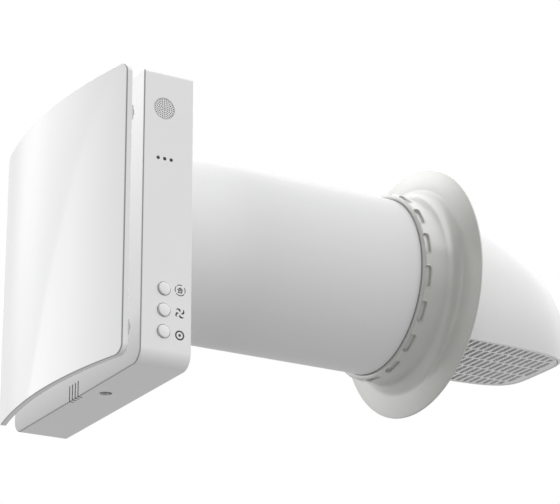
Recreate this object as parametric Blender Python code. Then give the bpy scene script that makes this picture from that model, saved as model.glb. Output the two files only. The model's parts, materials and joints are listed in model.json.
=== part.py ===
"""Through-wall heat recovery unit: indoor casing, wall duct with heat store and fan, outdoor hood.

Units are metres. +Y points outwards through the wall, +X to the right as seen from the room, +Z up.
The wall face is the plane Y = 0. The origin lies on it, on the vertical centre line, below the duct.
"""

import math

import bmesh
import bpy
from mathutils import Matrix, Vector

# Driving dimensions
GAP = 0.0003                      # play between neighbouring pieces

CASE_WIDTH = 0.240
CASE_HEIGHT = 0.250
CASE_DEPTH = 0.045
CASE_CORNER = 0.012                # lower corners
CASE_TOP_CORNER = 0.003
CASE_WALL = 0.0025
CASE_BOTTOM = -0.030
CASE_MIDDLE = CASE_BOTTOM + CASE_HEIGHT / 2

DUCT_AXIS = CASE_MIDDLE + 0.024   # height of the duct's axis
DUCT_RADIUS = 0.080
DUCT_WALL = 0.0025
DUCT_BORE = DUCT_RADIUS - DUCT_WALL
DUCT_FRONT = -0.004
DUCT_END = 0.2475

PANEL_WIDTH = 0.237
PANEL_HEIGHT = 0.250
PANEL_TOP = 0.224
PANEL_THICKNESS = 0.0055
PANEL_STANDOFF = 0.0095           # from the casing's front to the panel's back, at its side edges
PANEL_BULGE = 0.0143              # how far the middle stands forward of the side edges
PANEL_CORNER = 0.009
STUD_X = 0.098
STUD_HEIGHTS = (0.0026, 2 * CASE_MIDDLE - 0.0026)
STUD_PIN_RADIUS = 0.0028

BUTTON_Y = -0.0245
BUTTON_MIDDLE = 0.0148
BUTTON_PITCH = 0.0178
BUTTON_RADIUS = 0.0053
BUTTON_TRAVEL = 0.0012
LIGHT_Y = -0.0255
LIGHT_Z = 0.1437
LIGHT_PITCH = 0.0059
LIGHT_RADIUS = 0.0010
SOUNDER_Y = -0.0264
SOUNDER_Z = 0.1877
SOUNDER_RADIUS = 0.0092
BOARD_X = 0.1040                  # inner face of the control board
BOARD_THICKNESS = 0.0016
BOARD_FRONT = -0.0335             # clear of the sockets for the panel's pins
SLOT_PITCH = 0.0054
SLOT_WIDTH = 0.0022
SLOT_HEIGHT = 0.0135
WALL_HOLES = [(x, z) for x in (-0.100, 0.100) for z in (-0.014, CASE_BOTTOM + CASE_HEIGHT - 0.016)]
FIXING_X = 0.027                  # the screw in a well in the casing's underside
FIXING_Y = -0.029
WELL_RADIUS = 0.0052
WELL_DEPTH = 0.0036
WELL_FLOOR = 0.0020               # thickness left above the well

GEAR_MODULE = 0.001
GEAR_TEETH = 12
GEAR_RADIUS = GEAR_MODULE * GEAR_TEETH / 2
GEAR_WIDTH = 0.0042
TOOTH_PITCH = math.pi * GEAR_MODULE
TOOTH_PLAY = 0.00012              # taken off each flank of a tooth
PRESSURE_ANGLE = math.radians(20)
GEAR_ADDENDUM = 0.00075
RACK_ADDENDUM = 0.00065
DEDENDUM = 0.0010

BLADE_PITCH = 10 * TOOTH_PITCH    # whole teeth, so that every gear meets the rack alike
BLADE_CHORD = BLADE_PITCH - 0.0008
BLADE_AXIS_Y = -0.0235
BLADE_THICKNESS = 0.0024
BLADE_PIN_RADIUS = 0.0020
BLADE_OFFSETS = [(i - 1.5) * BLADE_PITCH for i in range(4)]
FRAME_HALF_WIDTH = 0.0755         # inside the shutter frame
FRAME_HALF_HEIGHT = 0.0640
FRAME_WALL = 0.0025
FRAME_FRONT = -0.0400
FRAME_BACK = -0.0045
AIR_RADIUS = 0.0700               # opening in the casing's front
GEAR_X = -0.0840                  # far side of the shutter gears
MOTOR_FACE_X = -0.0868
MOTOR_RADIUS = 0.0140
MOTOR_LENGTH = 0.0190

FILTER_RADIUS = 0.0735
STORE_RADIUS = 0.0708
STORE_START = 0.0180
STORE_END = 0.1250
STORE_CELL_PITCH = 0.0170
STORE_CELL_WALL = 0.0024
SHELL_INNER = 0.0715
SHELL_OUTER = 0.0768
SHELL_START = 0.0160
SHELL_END = 0.2000
REAR_FILTER_START = 0.1270
REAR_FILTER_END = 0.1330
FAN_START = 0.1380
FAN_END = 0.1760
FAN_RING_INNER = 0.0660
FAN_RING_OUTER = 0.0708
ROTOR_TIP = 0.0645
ROTOR_HUB = 0.0260
ROTOR_BLADES = 7
SHAFT_RADIUS = 0.0015
VANES_START = 0.1780
VANES_END = 0.1960
VANE_COUNT = 8

COLLAR_START = 0.2478
COLLAR_RIM_Y = 0.2877
COLLAR_RIM_RADIUS = 0.1142
COLLAR_SLOTS = 17
COLLAR_SLOT_Y = 0.2518
COLLAR_SLOT_LENGTH = 0.0190
COLLAR_SLOT_WIDTH = 0.0048

HOOD_RADIUS = 0.0794
HOOD_WALL = 0.0018
HOOD_START = 0.2485
HOOD_STEP = 0.2915                # the cylinder's lower part ends here and the grille begins
HOOD_SHOULDER = 0.2920            # the curved front starts here
HOOD_FRONT = 0.4286
HOOD_CHORD = 0.0550               # the grille's plane below the duct's axis
HOOD_SQUARENESS = 5.0             # exponent of the hood's outline in plan
HOOD_ARC_STEPS = 14
HOOD_DRAFT = 0.0006               # the front leans back by this much over the grille's thickness
GRILLE_THICKNESS = 0.0026
GRILLE_ROWS = 5
GRILLE_ROW_PITCH = 0.0221
GRILLE_SLOT_LENGTH = 0.0194
GRILLE_SLOT_WIDTH = 0.0034
GRILLE_SLOT_PITCH = 0.0068
GRILLE_RIM = 0.0013               # solid edge left outside the slots
MESH_PITCH = 0.0230
MESH_WIRE = 0.0030


# Scene and materials

def clear_scene():
    for obj in list(bpy.data.objects):
        bpy.data.objects.remove(obj, do_unlink=True)


def material(name, colour, roughness, metallic=0.0):
    made = bpy.data.materials.new(name)
    made.use_nodes = True
    shader = made.node_tree.nodes["Principled BSDF"]
    shader.inputs["Base Color"].default_value = (*colour, 1.0)
    shader.inputs["Roughness"].default_value = roughness
    shader.inputs["Metallic"].default_value = metallic
    return made


def make_materials():
    return {
        "gloss_white": material("gloss_white", (0.88, 0.88, 0.89), 0.12),
        "case_white": material("case_white", (0.82, 0.82, 0.83), 0.38),
        "button_grey": material("button_grey", (0.74, 0.75, 0.77), 0.45),
        "dark_lens": material("dark_lens", (0.10, 0.10, 0.11), 0.25),
        "duct_white": material("duct_white", (0.80, 0.80, 0.81), 0.40),
        "collar_grey": material("collar_grey", (0.50, 0.50, 0.48), 0.42),
        "hood_white": material("hood_white", (0.84, 0.84, 0.84), 0.40),
        "inner_plastic": material("inner_plastic", (0.70, 0.71, 0.72), 0.50),
        "gear_plastic": material("gear_plastic", (0.86, 0.84, 0.76), 0.45),
        "black_plastic": material("black_plastic", (0.05, 0.05, 0.055), 0.50),
        "board_green": material("board_green", (0.05, 0.25, 0.13), 0.45),
        "ceramic": material("ceramic", (0.78, 0.72, 0.62), 0.85),
        "foam_grey": material("foam_grey", (0.22, 0.23, 0.24), 0.95),
        "foam_white": material("foam_white", (0.80, 0.80, 0.80), 0.90),
        "steel": material("steel", (0.60, 0.60, 0.61), 0.30, 1.0),
        "cord": material("cord", (0.72, 0.70, 0.62), 0.85),
    }


# Shapes. Each one fills a bmesh, in the coordinates of the object that will hold it.

def place(axis, u, v, t):
    """The point at (u, v) across an axis and t along it."""
    return {"X": (t, u, v), "Y": (u, t, v), "Z": (u, v, t)}[axis]


def prism(outline, axis, low, high, bm=None):
    """Extrudes a closed outline of (u, v) points along an axis."""
    bm = bm or bmesh.new()
    bottom = [bm.verts.new(place(axis, u, v, low)) for u, v in outline]
    top = [bm.verts.new(place(axis, u, v, high)) for u, v in outline]
    bm.faces.new(bottom[::-1])
    bm.faces.new(top)
    for i in range(len(outline)):
        j = (i + 1) % len(outline)
        bm.faces.new((bottom[i], bottom[j], top[j], top[i]))
    return bm


def box(low, high, bm=None):
    """A box between two corners."""
    corners = [(low[0], low[1]), (high[0], low[1]), (high[0], high[1]), (low[0], high[1])]
    return prism(corners, "Z", low[2], high[2], bm)


def circle(radius, steps, centre=(0.0, 0.0), phase=0.0):
    turn = [phase + 2 * math.pi * i / steps for i in range(steps)]
    return [(centre[0] + radius * math.cos(a), centre[1] + radius * math.sin(a)) for a in turn]


def disc(centre, radius, axis, low, high, steps, bm=None):
    """A cylinder; centre holds the two coordinates across its axis."""
    return prism(circle(radius, steps, centre, math.pi / steps), axis, low, high, bm)


def rounded_rectangle(u0, u1, v0, v1, radius, arc_steps=4, upper=None):
    """Outline of a rectangle with round corners, anticlockwise; the upper two can have their own radius."""
    upper = radius if upper is None else upper
    corners = [(u1 - upper, v1 - upper, upper), (u0 + upper, v1 - upper, upper),
               (u0 + radius, v0 + radius, radius), (u1 - radius, v0 + radius, radius)]
    points = []
    for quarter, (cu, cv, radius) in enumerate(corners):
        for i in range(arc_steps + 1):
            a = math.pi / 2 * (quarter + i / arc_steps)
            points.append((cu + radius * math.cos(a), cv + radius * math.sin(a)))
    return points


def lathe(profile, axis, centre, steps, start=0.0, sweep=2 * math.pi, bm=None):
    """Turns a profile of (radius, along) points about an axis through centre.

    A profile that starts and ends on the axis makes a solid; any other is closed and makes a ring.
    """
    bm = bm or bmesh.new()
    whole = abs(sweep - 2 * math.pi) < 1e-9
    solid = profile[0][0] == 0 and profile[-1][0] == 0
    columns = []
    for i in range(steps if whole else steps + 1):
        a = start + sweep * i / steps
        columns.append((math.cos(a), math.sin(a)))
    rings = []
    for radius, along in profile:
        if radius == 0:
            rings.append([bm.verts.new(place(axis, centre[0], centre[1], along))] * len(columns))
        else:
            rings.append([bm.verts.new(place(axis, centre[0] + radius * c, centre[1] + radius * s, along))
                          for c, s in columns])
    pairs = list(zip(rings, rings[1:]))
    if not solid:
        pairs.append((rings[-1], rings[0]))
    spans = len(columns) if whole else len(columns) - 1
    for lower, upper in pairs:
        for i in range(spans):
            j = (i + 1) % len(columns)
            corners = []
            for vert in (lower[i], lower[j], upper[j], upper[i]):
                if vert not in corners:
                    corners.append(vert)
            if len(corners) > 2:
                bm.faces.new(corners)
    if not whole:
        bm.faces.new([ring[0] for ring in rings])
        bm.faces.new([ring[-1] for ring in rings][::-1])
    return bm


def ring_profile(inner, outer, low, high):
    return [(inner, low), (outer, low), (outer, high), (inner, high)]


def turned(bm, matrix):
    """The same shape, moved by a matrix."""
    bmesh.ops.transform(bm, matrix=matrix, verts=bm.verts)
    return bm


# Objects

def add_object(name, bm, finish, origin=(0, 0, 0)):
    """Makes a named object from a bmesh that is given about the object's origin."""
    bmesh.ops.recalc_face_normals(bm, faces=bm.faces)
    mesh = bpy.data.meshes.new(name)
    bm.to_mesh(mesh)
    bm.free()
    obj = bpy.data.objects.new(name, mesh)
    bpy.context.scene.collection.objects.link(obj)
    obj.location = origin
    if finish is not None:
        mesh.materials.append(finish)
        mesh.shade_smooth()
        mesh.set_sharp_from_angle(angle=math.radians(35))
    return obj


def add_tool(obj, bm, operation):
    """Adds a hidden solid that is cut from obj or joined to it."""
    tool = add_object("tool_" + obj.name, bm, None, obj.location)
    tool.hide_render = True
    tool.display_type = "WIRE"
    step = obj.modifiers.new(operation.lower(), "BOOLEAN")
    step.operation = operation
    step.solver = "EXACT"
    step.object = tool
    return obj


def cut(obj, bm):
    return add_tool(obj, bm, "DIFFERENCE")


def join(obj, bm):
    return add_tool(obj, bm, "UNION")


def screw_shape(head_radius, head_height, shank_radius, length):
    """A pan-head screw: the head above zero and the pointed shank below, as a lathe profile."""
    return [(0, head_height), (head_radius * 0.7, head_height), (head_radius, head_height * 0.4),
            (head_radius, 0), (shank_radius, 0), (shank_radius, -length + 2 * shank_radius),
            (0, -length)]


# Indoor unit

def make_casing(mats):
    half = CASE_WIDTH / 2
    top = CASE_BOTTOM + CASE_HEIGHT
    outline = rounded_rectangle(-half, half, CASE_BOTTOM, top, CASE_CORNER, upper=CASE_TOP_CORNER)
    casing = add_object("casing", prism(outline, "Y", -CASE_DEPTH, 0), mats["case_white"])
    inner = rounded_rectangle(-half + CASE_WALL, half - CASE_WALL, CASE_BOTTOM + CASE_WALL,
                              top - CASE_WALL, CASE_CORNER - CASE_WALL,
                              upper=CASE_TOP_CORNER - CASE_WALL)
    cut(casing, prism(inner, "Y", -CASE_DEPTH + CASE_WALL, 0.01))
    sockets = bmesh.new()
    holes = bmesh.new()
    for side in (-1, 1):
        for height in STUD_HEIGHTS:
            centre = (side * STUD_X, height)
            disc(centre, 0.0056, "Y", -CASE_DEPTH + 0.001, -0.0340, 12, sockets)
            disc(centre, STUD_PIN_RADIUS + 0.0005, "Y", -0.05, -0.030, 8, holes)
    disc((0, DUCT_AXIS), AIR_RADIUS, "Y", -0.05, -0.040, 36, holes)
    join(casing, sockets)
    cut(casing, holes)
    side_holes = bmesh.new()
    inside, outside = half - 0.004, half + 0.001
    for i in range(3):
        height = BUTTON_MIDDLE + (i - 1) * BUTTON_PITCH
        disc((BUTTON_Y, height), BUTTON_RADIUS + 0.0007, "X", inside, outside, 16, side_holes)
        disc((LIGHT_Y + (i - 1) * LIGHT_PITCH, LIGHT_Z), LIGHT_RADIUS + GAP, "X", inside, outside, 8,
             side_holes)
    disc((SOUNDER_Y, SOUNDER_Z), SOUNDER_RADIUS + 0.0005, "X", inside, outside, 16, side_holes)
    for i in range(4):
        x = (i - 1.5) * SLOT_PITCH
        box((x - SLOT_WIDTH / 2, -0.05, CASE_BOTTOM - 0.001),
            (x + SLOT_WIDTH / 2, -CASE_DEPTH + 0.0040, CASE_BOTTOM + SLOT_HEIGHT), side_holes)
    cut(casing, side_holes)
    fixing = (FIXING_X, FIXING_Y)
    boss_top = CASE_BOTTOM + WELL_DEPTH + WELL_FLOOR
    join(casing, disc(fixing, WELL_RADIUS + 0.0018, "Z", CASE_BOTTOM + 0.001, boss_top, 24))
    cut(casing, disc(fixing, WELL_RADIUS, "Z", CASE_BOTTOM - 0.001, CASE_BOTTOM + WELL_DEPTH, 24))
    cut(casing, disc(fixing, 0.0023, "Z", CASE_BOTTOM, boss_top + 0.001, 16))


def make_mounting_plate(mats):
    half = CASE_WIDTH / 2 - CASE_WALL - 0.001
    low = CASE_BOTTOM + CASE_WALL + 0.001
    high = CASE_BOTTOM + CASE_HEIGHT - CASE_WALL - 0.001
    outline = rounded_rectangle(-half, half, low, high, 0.008, 3)
    plate = add_object("mounting_plate", prism(outline, "Y", -0.002, 0), mats["steel"])
    tab_low = CASE_BOTTOM + WELL_DEPTH + WELL_FLOOR + GAP
    tab_high = tab_low + 0.0025
    join(plate, box((FIXING_X - 0.009, -0.037, tab_low), (FIXING_X + 0.009, -0.001, tab_high)))
    holes = bmesh.new()
    disc((0, DUCT_AXIS), DUCT_RADIUS + 0.0006, "Y", -0.01, 0.01, 48, holes)
    for x, z in WALL_HOLES:
        disc((x, z), 0.0026, "Y", -0.01, 0.01, 12, holes)
    prism(rounded_rectangle(-0.100, -0.076, -0.004, 0.014, 0.004, 2), "Y", -0.01, 0.01, holes)
    disc((FIXING_X, FIXING_Y), 0.0021, "Z", tab_low - 0.001, tab_high + 0.001, 12, holes)
    cut(plate, holes)
    shape = lathe(screw_shape(0.0038, 0.0020, 0.0017, 0.012), "Z", (0, 0), 10)
    turned(shape, Matrix.Rotation(math.pi, 4, "X"))
    seat = CASE_BOTTOM + WELL_DEPTH - GAP
    add_object("casing_screw", shape, mats["steel"], (FIXING_X, FIXING_Y, seat))


def panel_front_y(x):
    """Depth of the panel's front face at x: a shallow arch across the width."""
    across = 2 * x / PANEL_WIDTH
    edge = CASE_DEPTH + PANEL_STANDOFF + PANEL_THICKNESS
    return -edge - PANEL_BULGE * (1 - across * across)


def panel_columns():
    """(x, half height) pairs across the panel, with round corners."""
    half = PANEL_WIDTH / 2
    flat = half - PANEL_CORNER
    corner = []
    for i in range(6):
        a = math.pi / 2 * i / 5
        corner.append((flat + PANEL_CORNER * math.sin(a),
                       PANEL_HEIGHT / 2 - PANEL_CORNER * (1 - math.cos(a))))
    middle = [(-flat + 2 * flat * i / 18, PANEL_HEIGHT / 2) for i in range(1, 18)]
    return [(-x, h) for x, h in corner[::-1]] + middle + corner


def make_panel(mats):
    middle = PANEL_TOP - PANEL_HEIGHT / 2
    bm = bmesh.new()
    columns = []
    for x, half in panel_columns():
        front = panel_front_y(x)
        back = front + PANEL_THICKNESS
        columns.append([bm.verts.new((x, y, middle + z))
                        for y, z in ((front, -half), (front, half), (back, half), (back, -half))])
    for left, right in zip(columns, columns[1:]):
        for i in range(4):
            j = (i + 1) % 4
            bm.faces.new((left[i], left[j], right[j], right[i]))
    bm.faces.new(columns[0])
    bm.faces.new(columns[-1][::-1])
    add_object("front_panel", bm, mats["gloss_white"])


def make_panel_studs(mats):
    """Posts behind the panel whose pins push into the casing's sockets."""
    half_width, half_height = 0.004, 0.006
    seat = -CASE_DEPTH - 0.0006
    names = {(-1, 0): "lower_left", (1, 0): "lower_right", (-1, 1): "upper_left", (1, 1): "upper_right"}
    for (side, row), name in names.items():
        x = side * STUD_X
        outline = [(x + half_width, seat), (x - half_width, seat)]
        for i in range(5):
            at = x - half_width + half_width * i / 2
            outline.append((at, panel_front_y(at) + PANEL_THICKNESS + GAP))
        height = STUD_HEIGHTS[row]
        stud = add_object("panel_stud_" + name,
                          prism(outline, "Z", height - half_height, height + half_height),
                          mats["gloss_white"])
        join(stud, disc((x, height), STUD_PIN_RADIUS, "Y", seat - 0.002, -0.0355, 8))


def make_buttons(mats):
    """Round push buttons: a domed cap, a flange behind the casing wall and a stem."""
    wall = CASE_WIDTH / 2
    crown, shoulder = 0.0018, 0.0009
    profile = [(0, crown)]
    for share in (0.45, 0.85):
        profile.append((BUTTON_RADIUS * share, shoulder + (crown - shoulder) * (1 - share * share)))
    profile += [(BUTTON_RADIUS, -0.0003), (BUTTON_RADIUS, -0.0032),
                (BUTTON_RADIUS + 0.0014, -0.0032), (BUTTON_RADIUS + 0.0014, -0.0044),
                (0.0020, -0.0044), (0.0020, -0.0067), (0, -0.0067)]
    for i, name in enumerate(("airflow_button", "speed_button", "mode_button")):
        bm = lathe(profile, "X", (0, 0), 16)
        add_object(name, bm, mats["button_grey"], (wall, BUTTON_Y, BUTTON_MIDDLE + (i - 1) * BUTTON_PITCH))


def make_controls(mats):
    """The control board with its switches, the light guide and the sounder."""
    face = BOARD_X + BOARD_THICKNESS
    bm = box((BOARD_X, BOARD_FRONT, -0.020), (face, -0.0060, 0.204))
    board = add_object("control_board", bm, mats["board_green"])
    parts = bmesh.new()
    for i in range(3):
        height = BUTTON_MIDDLE + (i - 1) * BUTTON_PITCH
        box((face - 0.0005, BUTTON_Y - 0.003, height - 0.003),
            (face + 0.0040, BUTTON_Y + 0.003, height + 0.003), parts)
        box((face - 0.0005, LIGHT_Y + (i - 1) * LIGHT_PITCH - 0.001, LIGHT_Z - 0.001),
            (face + 0.0010, LIGHT_Y + (i - 1) * LIGHT_PITCH + 0.001, LIGHT_Z + 0.001), parts)
    box((face - 0.0005, -0.033, 0.060), (face + 0.0030, -0.015, 0.078), parts)
    box((face - 0.0005, -0.030, 0.095), (face + 0.0020, -0.018, 0.105), parts)
    join(board, parts)
    plungers = bmesh.new()
    for i in range(3):
        height = BUTTON_MIDDLE + (i - 1) * BUTTON_PITCH
        disc((BUTTON_Y, height), 0.0015, "X", face + 0.0035, face + 0.0060, 10, plungers)
    join(board, plungers)

    bar = face + 0.0024
    guide = add_object("light_guide",
                       box((bar, LIGHT_Y - 0.0085, LIGHT_Z - 0.002),
                           (bar + 0.002, LIGHT_Y + 0.0085, LIGHT_Z + 0.002)),
                       mats["dark_lens"])
    pins = bmesh.new()
    for i in range(3):
        disc((LIGHT_Y + (i - 1) * LIGHT_PITCH, LIGHT_Z), LIGHT_RADIUS, "X", bar + 0.001,
             CASE_WIDTH / 2 - 0.0001, 8, pins)
    join(guide, pins)

    wall = CASE_WIDTH / 2
    profile = [(0, wall - 0.0048), (SOUNDER_RADIUS + 0.0013, wall - 0.0048),
               (SOUNDER_RADIUS + 0.0013, wall - CASE_WALL - GAP), (SOUNDER_RADIUS, wall - CASE_WALL - GAP),
               (SOUNDER_RADIUS, wall - 0.0002), (0, wall - 0.0002)]
    grille = add_object("sounder_grille", lathe(profile, "X", (SOUNDER_Y, SOUNDER_Z), 16),
                        mats["case_white"])
    holes = bmesh.new()
    disc((SOUNDER_Y, SOUNDER_Z), 0.0010, "X", wall - 0.006, wall + 0.001, 6, holes)
    for i in range(6):
        a = math.pi / 3 * i
        centre = (SOUNDER_Y + 0.0050 * math.cos(a), SOUNDER_Z + 0.0050 * math.sin(a))
        disc(centre, 0.0010, "X", wall - 0.006, wall + 0.001, 6, holes)
    cut(grille, holes)
    add_object("sounder", disc((SOUNDER_Y, SOUNDER_Z), 0.0075, "X", face + GAP, wall - 0.0055, 16),
               mats["black_plastic"])


def make_power_parts(mats):
    """The power supply and the terminal block below the duct opening, and the mains cable."""
    supply = add_object("power_supply",
                        prism(rounded_rectangle(-0.062, -0.004, -0.0210, 0.0170, 0.003, 2),
                              "Y", -0.036, -0.006),
                        mats["black_plastic"])
    cut(supply, box((-0.055, -0.0365, -0.014), (-0.011, -0.0345, 0.010)))
    block = add_object("terminal_block", box((0.044, -0.024, -0.0230), (0.080, -0.0040, -0.0080)),
                       mats["gear_plastic"])
    wells = bmesh.new()
    for i in range(3):
        x = 0.051 + 0.011 * i
        disc((x, -0.014), 0.0028, "Z", -0.0125, -0.0070, 12, wells)
        disc((x, -0.0155), 0.0022, "Y", -0.0250, -0.0190, 12, wells)
    cut(block, wells)
    path = [(-0.088, -0.0004, 0.005), (-0.088, -0.006, 0.005), (-0.084, -0.0125, 0.008),
            (-0.076, -0.0155, 0.0185), (-0.050, -0.0155, 0.0260), (0.020, -0.0150, 0.0260),
            (0.045, -0.0145, 0.0200), (0.051, -0.0140, 0.0060), (0.051, -0.0140, -0.0100)]
    add_cable("supply_cable", path, 0.0024, mats["black_plastic"])


def add_cable(name, path, radius, finish, sides=8):
    """A round cable along a path: a ring of points stands square to the path at each of its points."""
    points = [Vector(p) for p in path]
    bm = bmesh.new()
    rings = []
    across = Vector((0, 0, 1)).cross(points[1] - points[0]).normalized()
    for i, point in enumerate(points):
        ahead = (points[min(i + 1, len(points) - 1)] - points[max(i - 1, 0)]).normalized()
        across = (across - across.dot(ahead) * ahead).normalized()
        other = ahead.cross(across)
        rings.append([bm.verts.new(point + radius * (math.cos(2 * math.pi * k / sides) * across
                                                     + math.sin(2 * math.pi * k / sides) * other))
                      for k in range(sides)])
    for first, second in zip(rings, rings[1:]):
        for k in range(sides):
            j = (k + 1) % sides
            bm.faces.new((first[k], first[j], second[j], second[k]))
    bm.faces.new(rings[0][::-1])
    bm.faces.new(rings[-1])
    return add_object(name, bm, finish)


# Shutter

def gear_outline():
    """Outline of a spur gear about (0, 0), with a tooth centred on -u, its flanks involutes."""
    base = GEAR_RADIUS * math.cos(PRESSURE_ANGLE)
    half_at_pitch = (math.pi * GEAR_MODULE / 4 - TOOTH_PLAY) / GEAR_RADIUS

    def involute(radius):
        pressure = math.acos(min(1.0, base / radius))
        return math.tan(pressure) - pressure

    flank = []
    for radius in (base, GEAR_RADIUS, GEAR_RADIUS + GEAR_ADDENDUM):
        flank.append((radius, half_at_pitch + involute(GEAR_RADIUS) - involute(radius)))
    flank[0] = (GEAR_RADIUS - DEDENDUM, flank[0][1])
    points = []
    for tooth in range(GEAR_TEETH):
        middle = math.pi + 2 * math.pi * tooth / GEAR_TEETH
        for radius, half in flank:
            points.append((radius, middle - half))
        for radius, half in flank[::-1]:
            points.append((radius, middle + half))
    return [(radius * math.cos(a), radius * math.sin(a)) for radius, a in points]


def add_gear(name, height, bore, finish):
    origin = (GEAR_X, BLADE_AXIS_Y, height)
    gear = add_object(name, prism(gear_outline(), "X", 0, GEAR_WIDTH), finish, origin)
    cut(gear, disc((0, 0), bore, "X", -0.001, GEAR_WIDTH + 0.001, 8))


def make_shutter_frame(mats):
    outer_x, outer_z = FRAME_HALF_WIDTH + FRAME_WALL, FRAME_HALF_HEIGHT + FRAME_WALL
    bm = box((-outer_x, FRAME_FRONT, DUCT_AXIS - outer_z), (outer_x, FRAME_BACK, DUCT_AXIS + outer_z))
    frame = add_object("shutter_frame", bm, mats["inner_plastic"])
    cut(frame, box((-FRAME_HALF_WIDTH, FRAME_FRONT - 0.01, DUCT_AXIS - FRAME_HALF_HEIGHT),
                   (FRAME_HALF_WIDTH, FRAME_BACK - 0.002, DUCT_AXIS + FRAME_HALF_HEIGHT)))
    holes = disc((0, DUCT_AXIS), FRAME_HALF_HEIGHT - 0.0005, "Y", -0.01, 0.01, 32)
    cut(frame, holes)
    bearings = bmesh.new()
    for offset in BLADE_OFFSETS:
        disc((BLADE_AXIS_Y, DUCT_AXIS + offset), BLADE_PIN_RADIUS + GAP, "X", -0.09, 0.09, 8, bearings)
    cut(frame, bearings)


def make_blades(mats):
    """Four louvre blades on pins, closed at rest, each with a gear on its left pin."""
    length = FRAME_HALF_WIDTH - 0.0005
    half = BLADE_CHORD / 2
    section = []
    for i in range(5):
        share = -1 + i / 2
        section.append((-BLADE_THICKNESS / 2 * (1 - 0.6 * share * share), half * share))
    section += [(-y, z) for y, z in section[::-1]]
    for i, offset in enumerate(BLADE_OFFSETS, 1):
        origin = (0, BLADE_AXIS_Y, DUCT_AXIS + offset)
        blade = add_object(f"shutter_blade_{i}", prism(section, "X", -length, length),
                           mats["inner_plastic"], origin)
        join(blade, disc((0, 0), BLADE_PIN_RADIUS, "X", GEAR_X - 0.0005,
                         FRAME_HALF_WIDTH + FRAME_WALL - 0.0002, 8))
        add_gear(f"blade_gear_{i}", DUCT_AXIS + offset, BLADE_PIN_RADIUS + GAP, mats["gear_plastic"])


def rack_outline(low, high):
    """Outline (y, z) of the rack: its teeth face +Y, with a gap between teeth at z = 0."""
    line = BLADE_AXIS_Y - GEAR_RADIUS
    tip, root, back = line + RACK_ADDENDUM, line - DEDENDUM, line - 0.0040
    half = math.pi * GEAR_MODULE / 4 - TOOTH_PLAY
    slope = math.tan(PRESSURE_ANGLE)
    at_tip, at_root = half - RACK_ADDENDUM * slope, half + DEDENDUM * slope
    points = [(back, low), (root, low)]
    first = math.ceil((low + at_root) / TOOTH_PITCH - 0.5)
    last = math.floor((high - at_root) / TOOTH_PITCH - 0.5)
    for tooth in range(first, last + 1):
        middle = (tooth + 0.5) * TOOTH_PITCH
        points += [(root, middle - at_root), (tip, middle - at_tip),
                   (tip, middle + at_tip), (root, middle + at_root)]
    return points + [(root, high), (back, high)]


def make_shutter_drive(mats):
    """The rack that turns all the blades, its guides, and the motor with its pinion."""
    bm = prism(rack_outline(-0.060, 0.054), "X", GEAR_X - 0.0002, GEAR_X + GEAR_WIDTH + 0.0002)
    add_object("shutter_rack", bm, mats["gear_plastic"], (0, 0, DUCT_AXIS))
    back = BLADE_AXIS_Y - GEAR_RADIUS - 0.0040
    left, right = GEAR_X - 0.0002, GEAR_X + GEAR_WIDTH + 0.0002
    channel = [(left - 0.0018, back - 0.0028), (-FRAME_HALF_WIDTH - FRAME_WALL - GAP, back - 0.0028),
               (-FRAME_HALF_WIDTH - FRAME_WALL - GAP, back + 0.0024), (right + GAP, back + 0.0024),
               (right + GAP, back - GAP), (left - GAP, back - GAP), (left - GAP, back + 0.0024),
               (left - 0.0018, back + 0.0024)]
    for name, height in (("lower", -0.0314), ("upper", 0.0314)):
        add_object("rack_guide_" + name,
                   prism(channel, "Z", DUCT_AXIS + height - 0.004, DUCT_AXIS + height + 0.004),
                   mats["inner_plastic"])
    add_gear("drive_pinion", DUCT_AXIS, 0.0015, mats["gear_plastic"])
    centre = (BLADE_AXIS_Y, DUCT_AXIS)
    profile = [(0, MOTOR_FACE_X - MOTOR_LENGTH), (MOTOR_RADIUS, MOTOR_FACE_X - MOTOR_LENGTH),
               (MOTOR_RADIUS, MOTOR_FACE_X), (0.0045, MOTOR_FACE_X), (0.0045, MOTOR_FACE_X + 0.0015),
               (0.0012, MOTOR_FACE_X + 0.0015), (0.0012, GEAR_X + GEAR_WIDTH), (0, GEAR_X + GEAR_WIDTH)]
    motor = add_object("shutter_motor", lathe(profile, "X", centre, 16), mats["steel"])
    ears = box((MOTOR_FACE_X - 0.0018, BLADE_AXIS_Y - 0.004, DUCT_AXIS - 0.0205),
               (MOTOR_FACE_X - 0.0003, BLADE_AXIS_Y + 0.004, DUCT_AXIS + 0.0205))
    join(motor, ears)


# Duct and cartridge

def make_duct(mats):
    profile = ring_profile(DUCT_BORE, DUCT_RADIUS, DUCT_FRONT, DUCT_END)
    add_object("wall_duct", lathe(profile, "Y", (0, DUCT_AXIS), 44), mats["duct_white"])


def make_filters(mats):
    centre = (0, DUCT_AXIS)
    holder = add_object("filter_holder",
                        lathe(ring_profile(FILTER_RADIUS + GAP, SHELL_OUTER, 0.0020, 0.0140),
                              "Y", centre, 32),
                        mats["inner_plastic"])
    bar, reach = 0.002, FILTER_RADIUS + 0.0015
    cross = [(reach, -bar), (reach, bar), (bar, bar), (bar, reach), (-bar, reach), (-bar, bar),
             (-reach, bar), (-reach, -bar), (-bar, -bar), (-bar, -reach), (bar, -reach), (bar, -bar)]
    join(holder, prism([(x, DUCT_AXIS + z) for x, z in cross], "Y", 0.0022, 0.0038))
    add_object("front_filter", disc(centre, FILTER_RADIUS - 0.0003, "Y", 0.0042, 0.0130, 32),
               mats["foam_grey"])
    add_object("rear_filter", disc(centre, STORE_RADIUS, "Y", REAR_FILTER_START, REAR_FILTER_END, 32),
               mats["foam_grey"])


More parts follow.
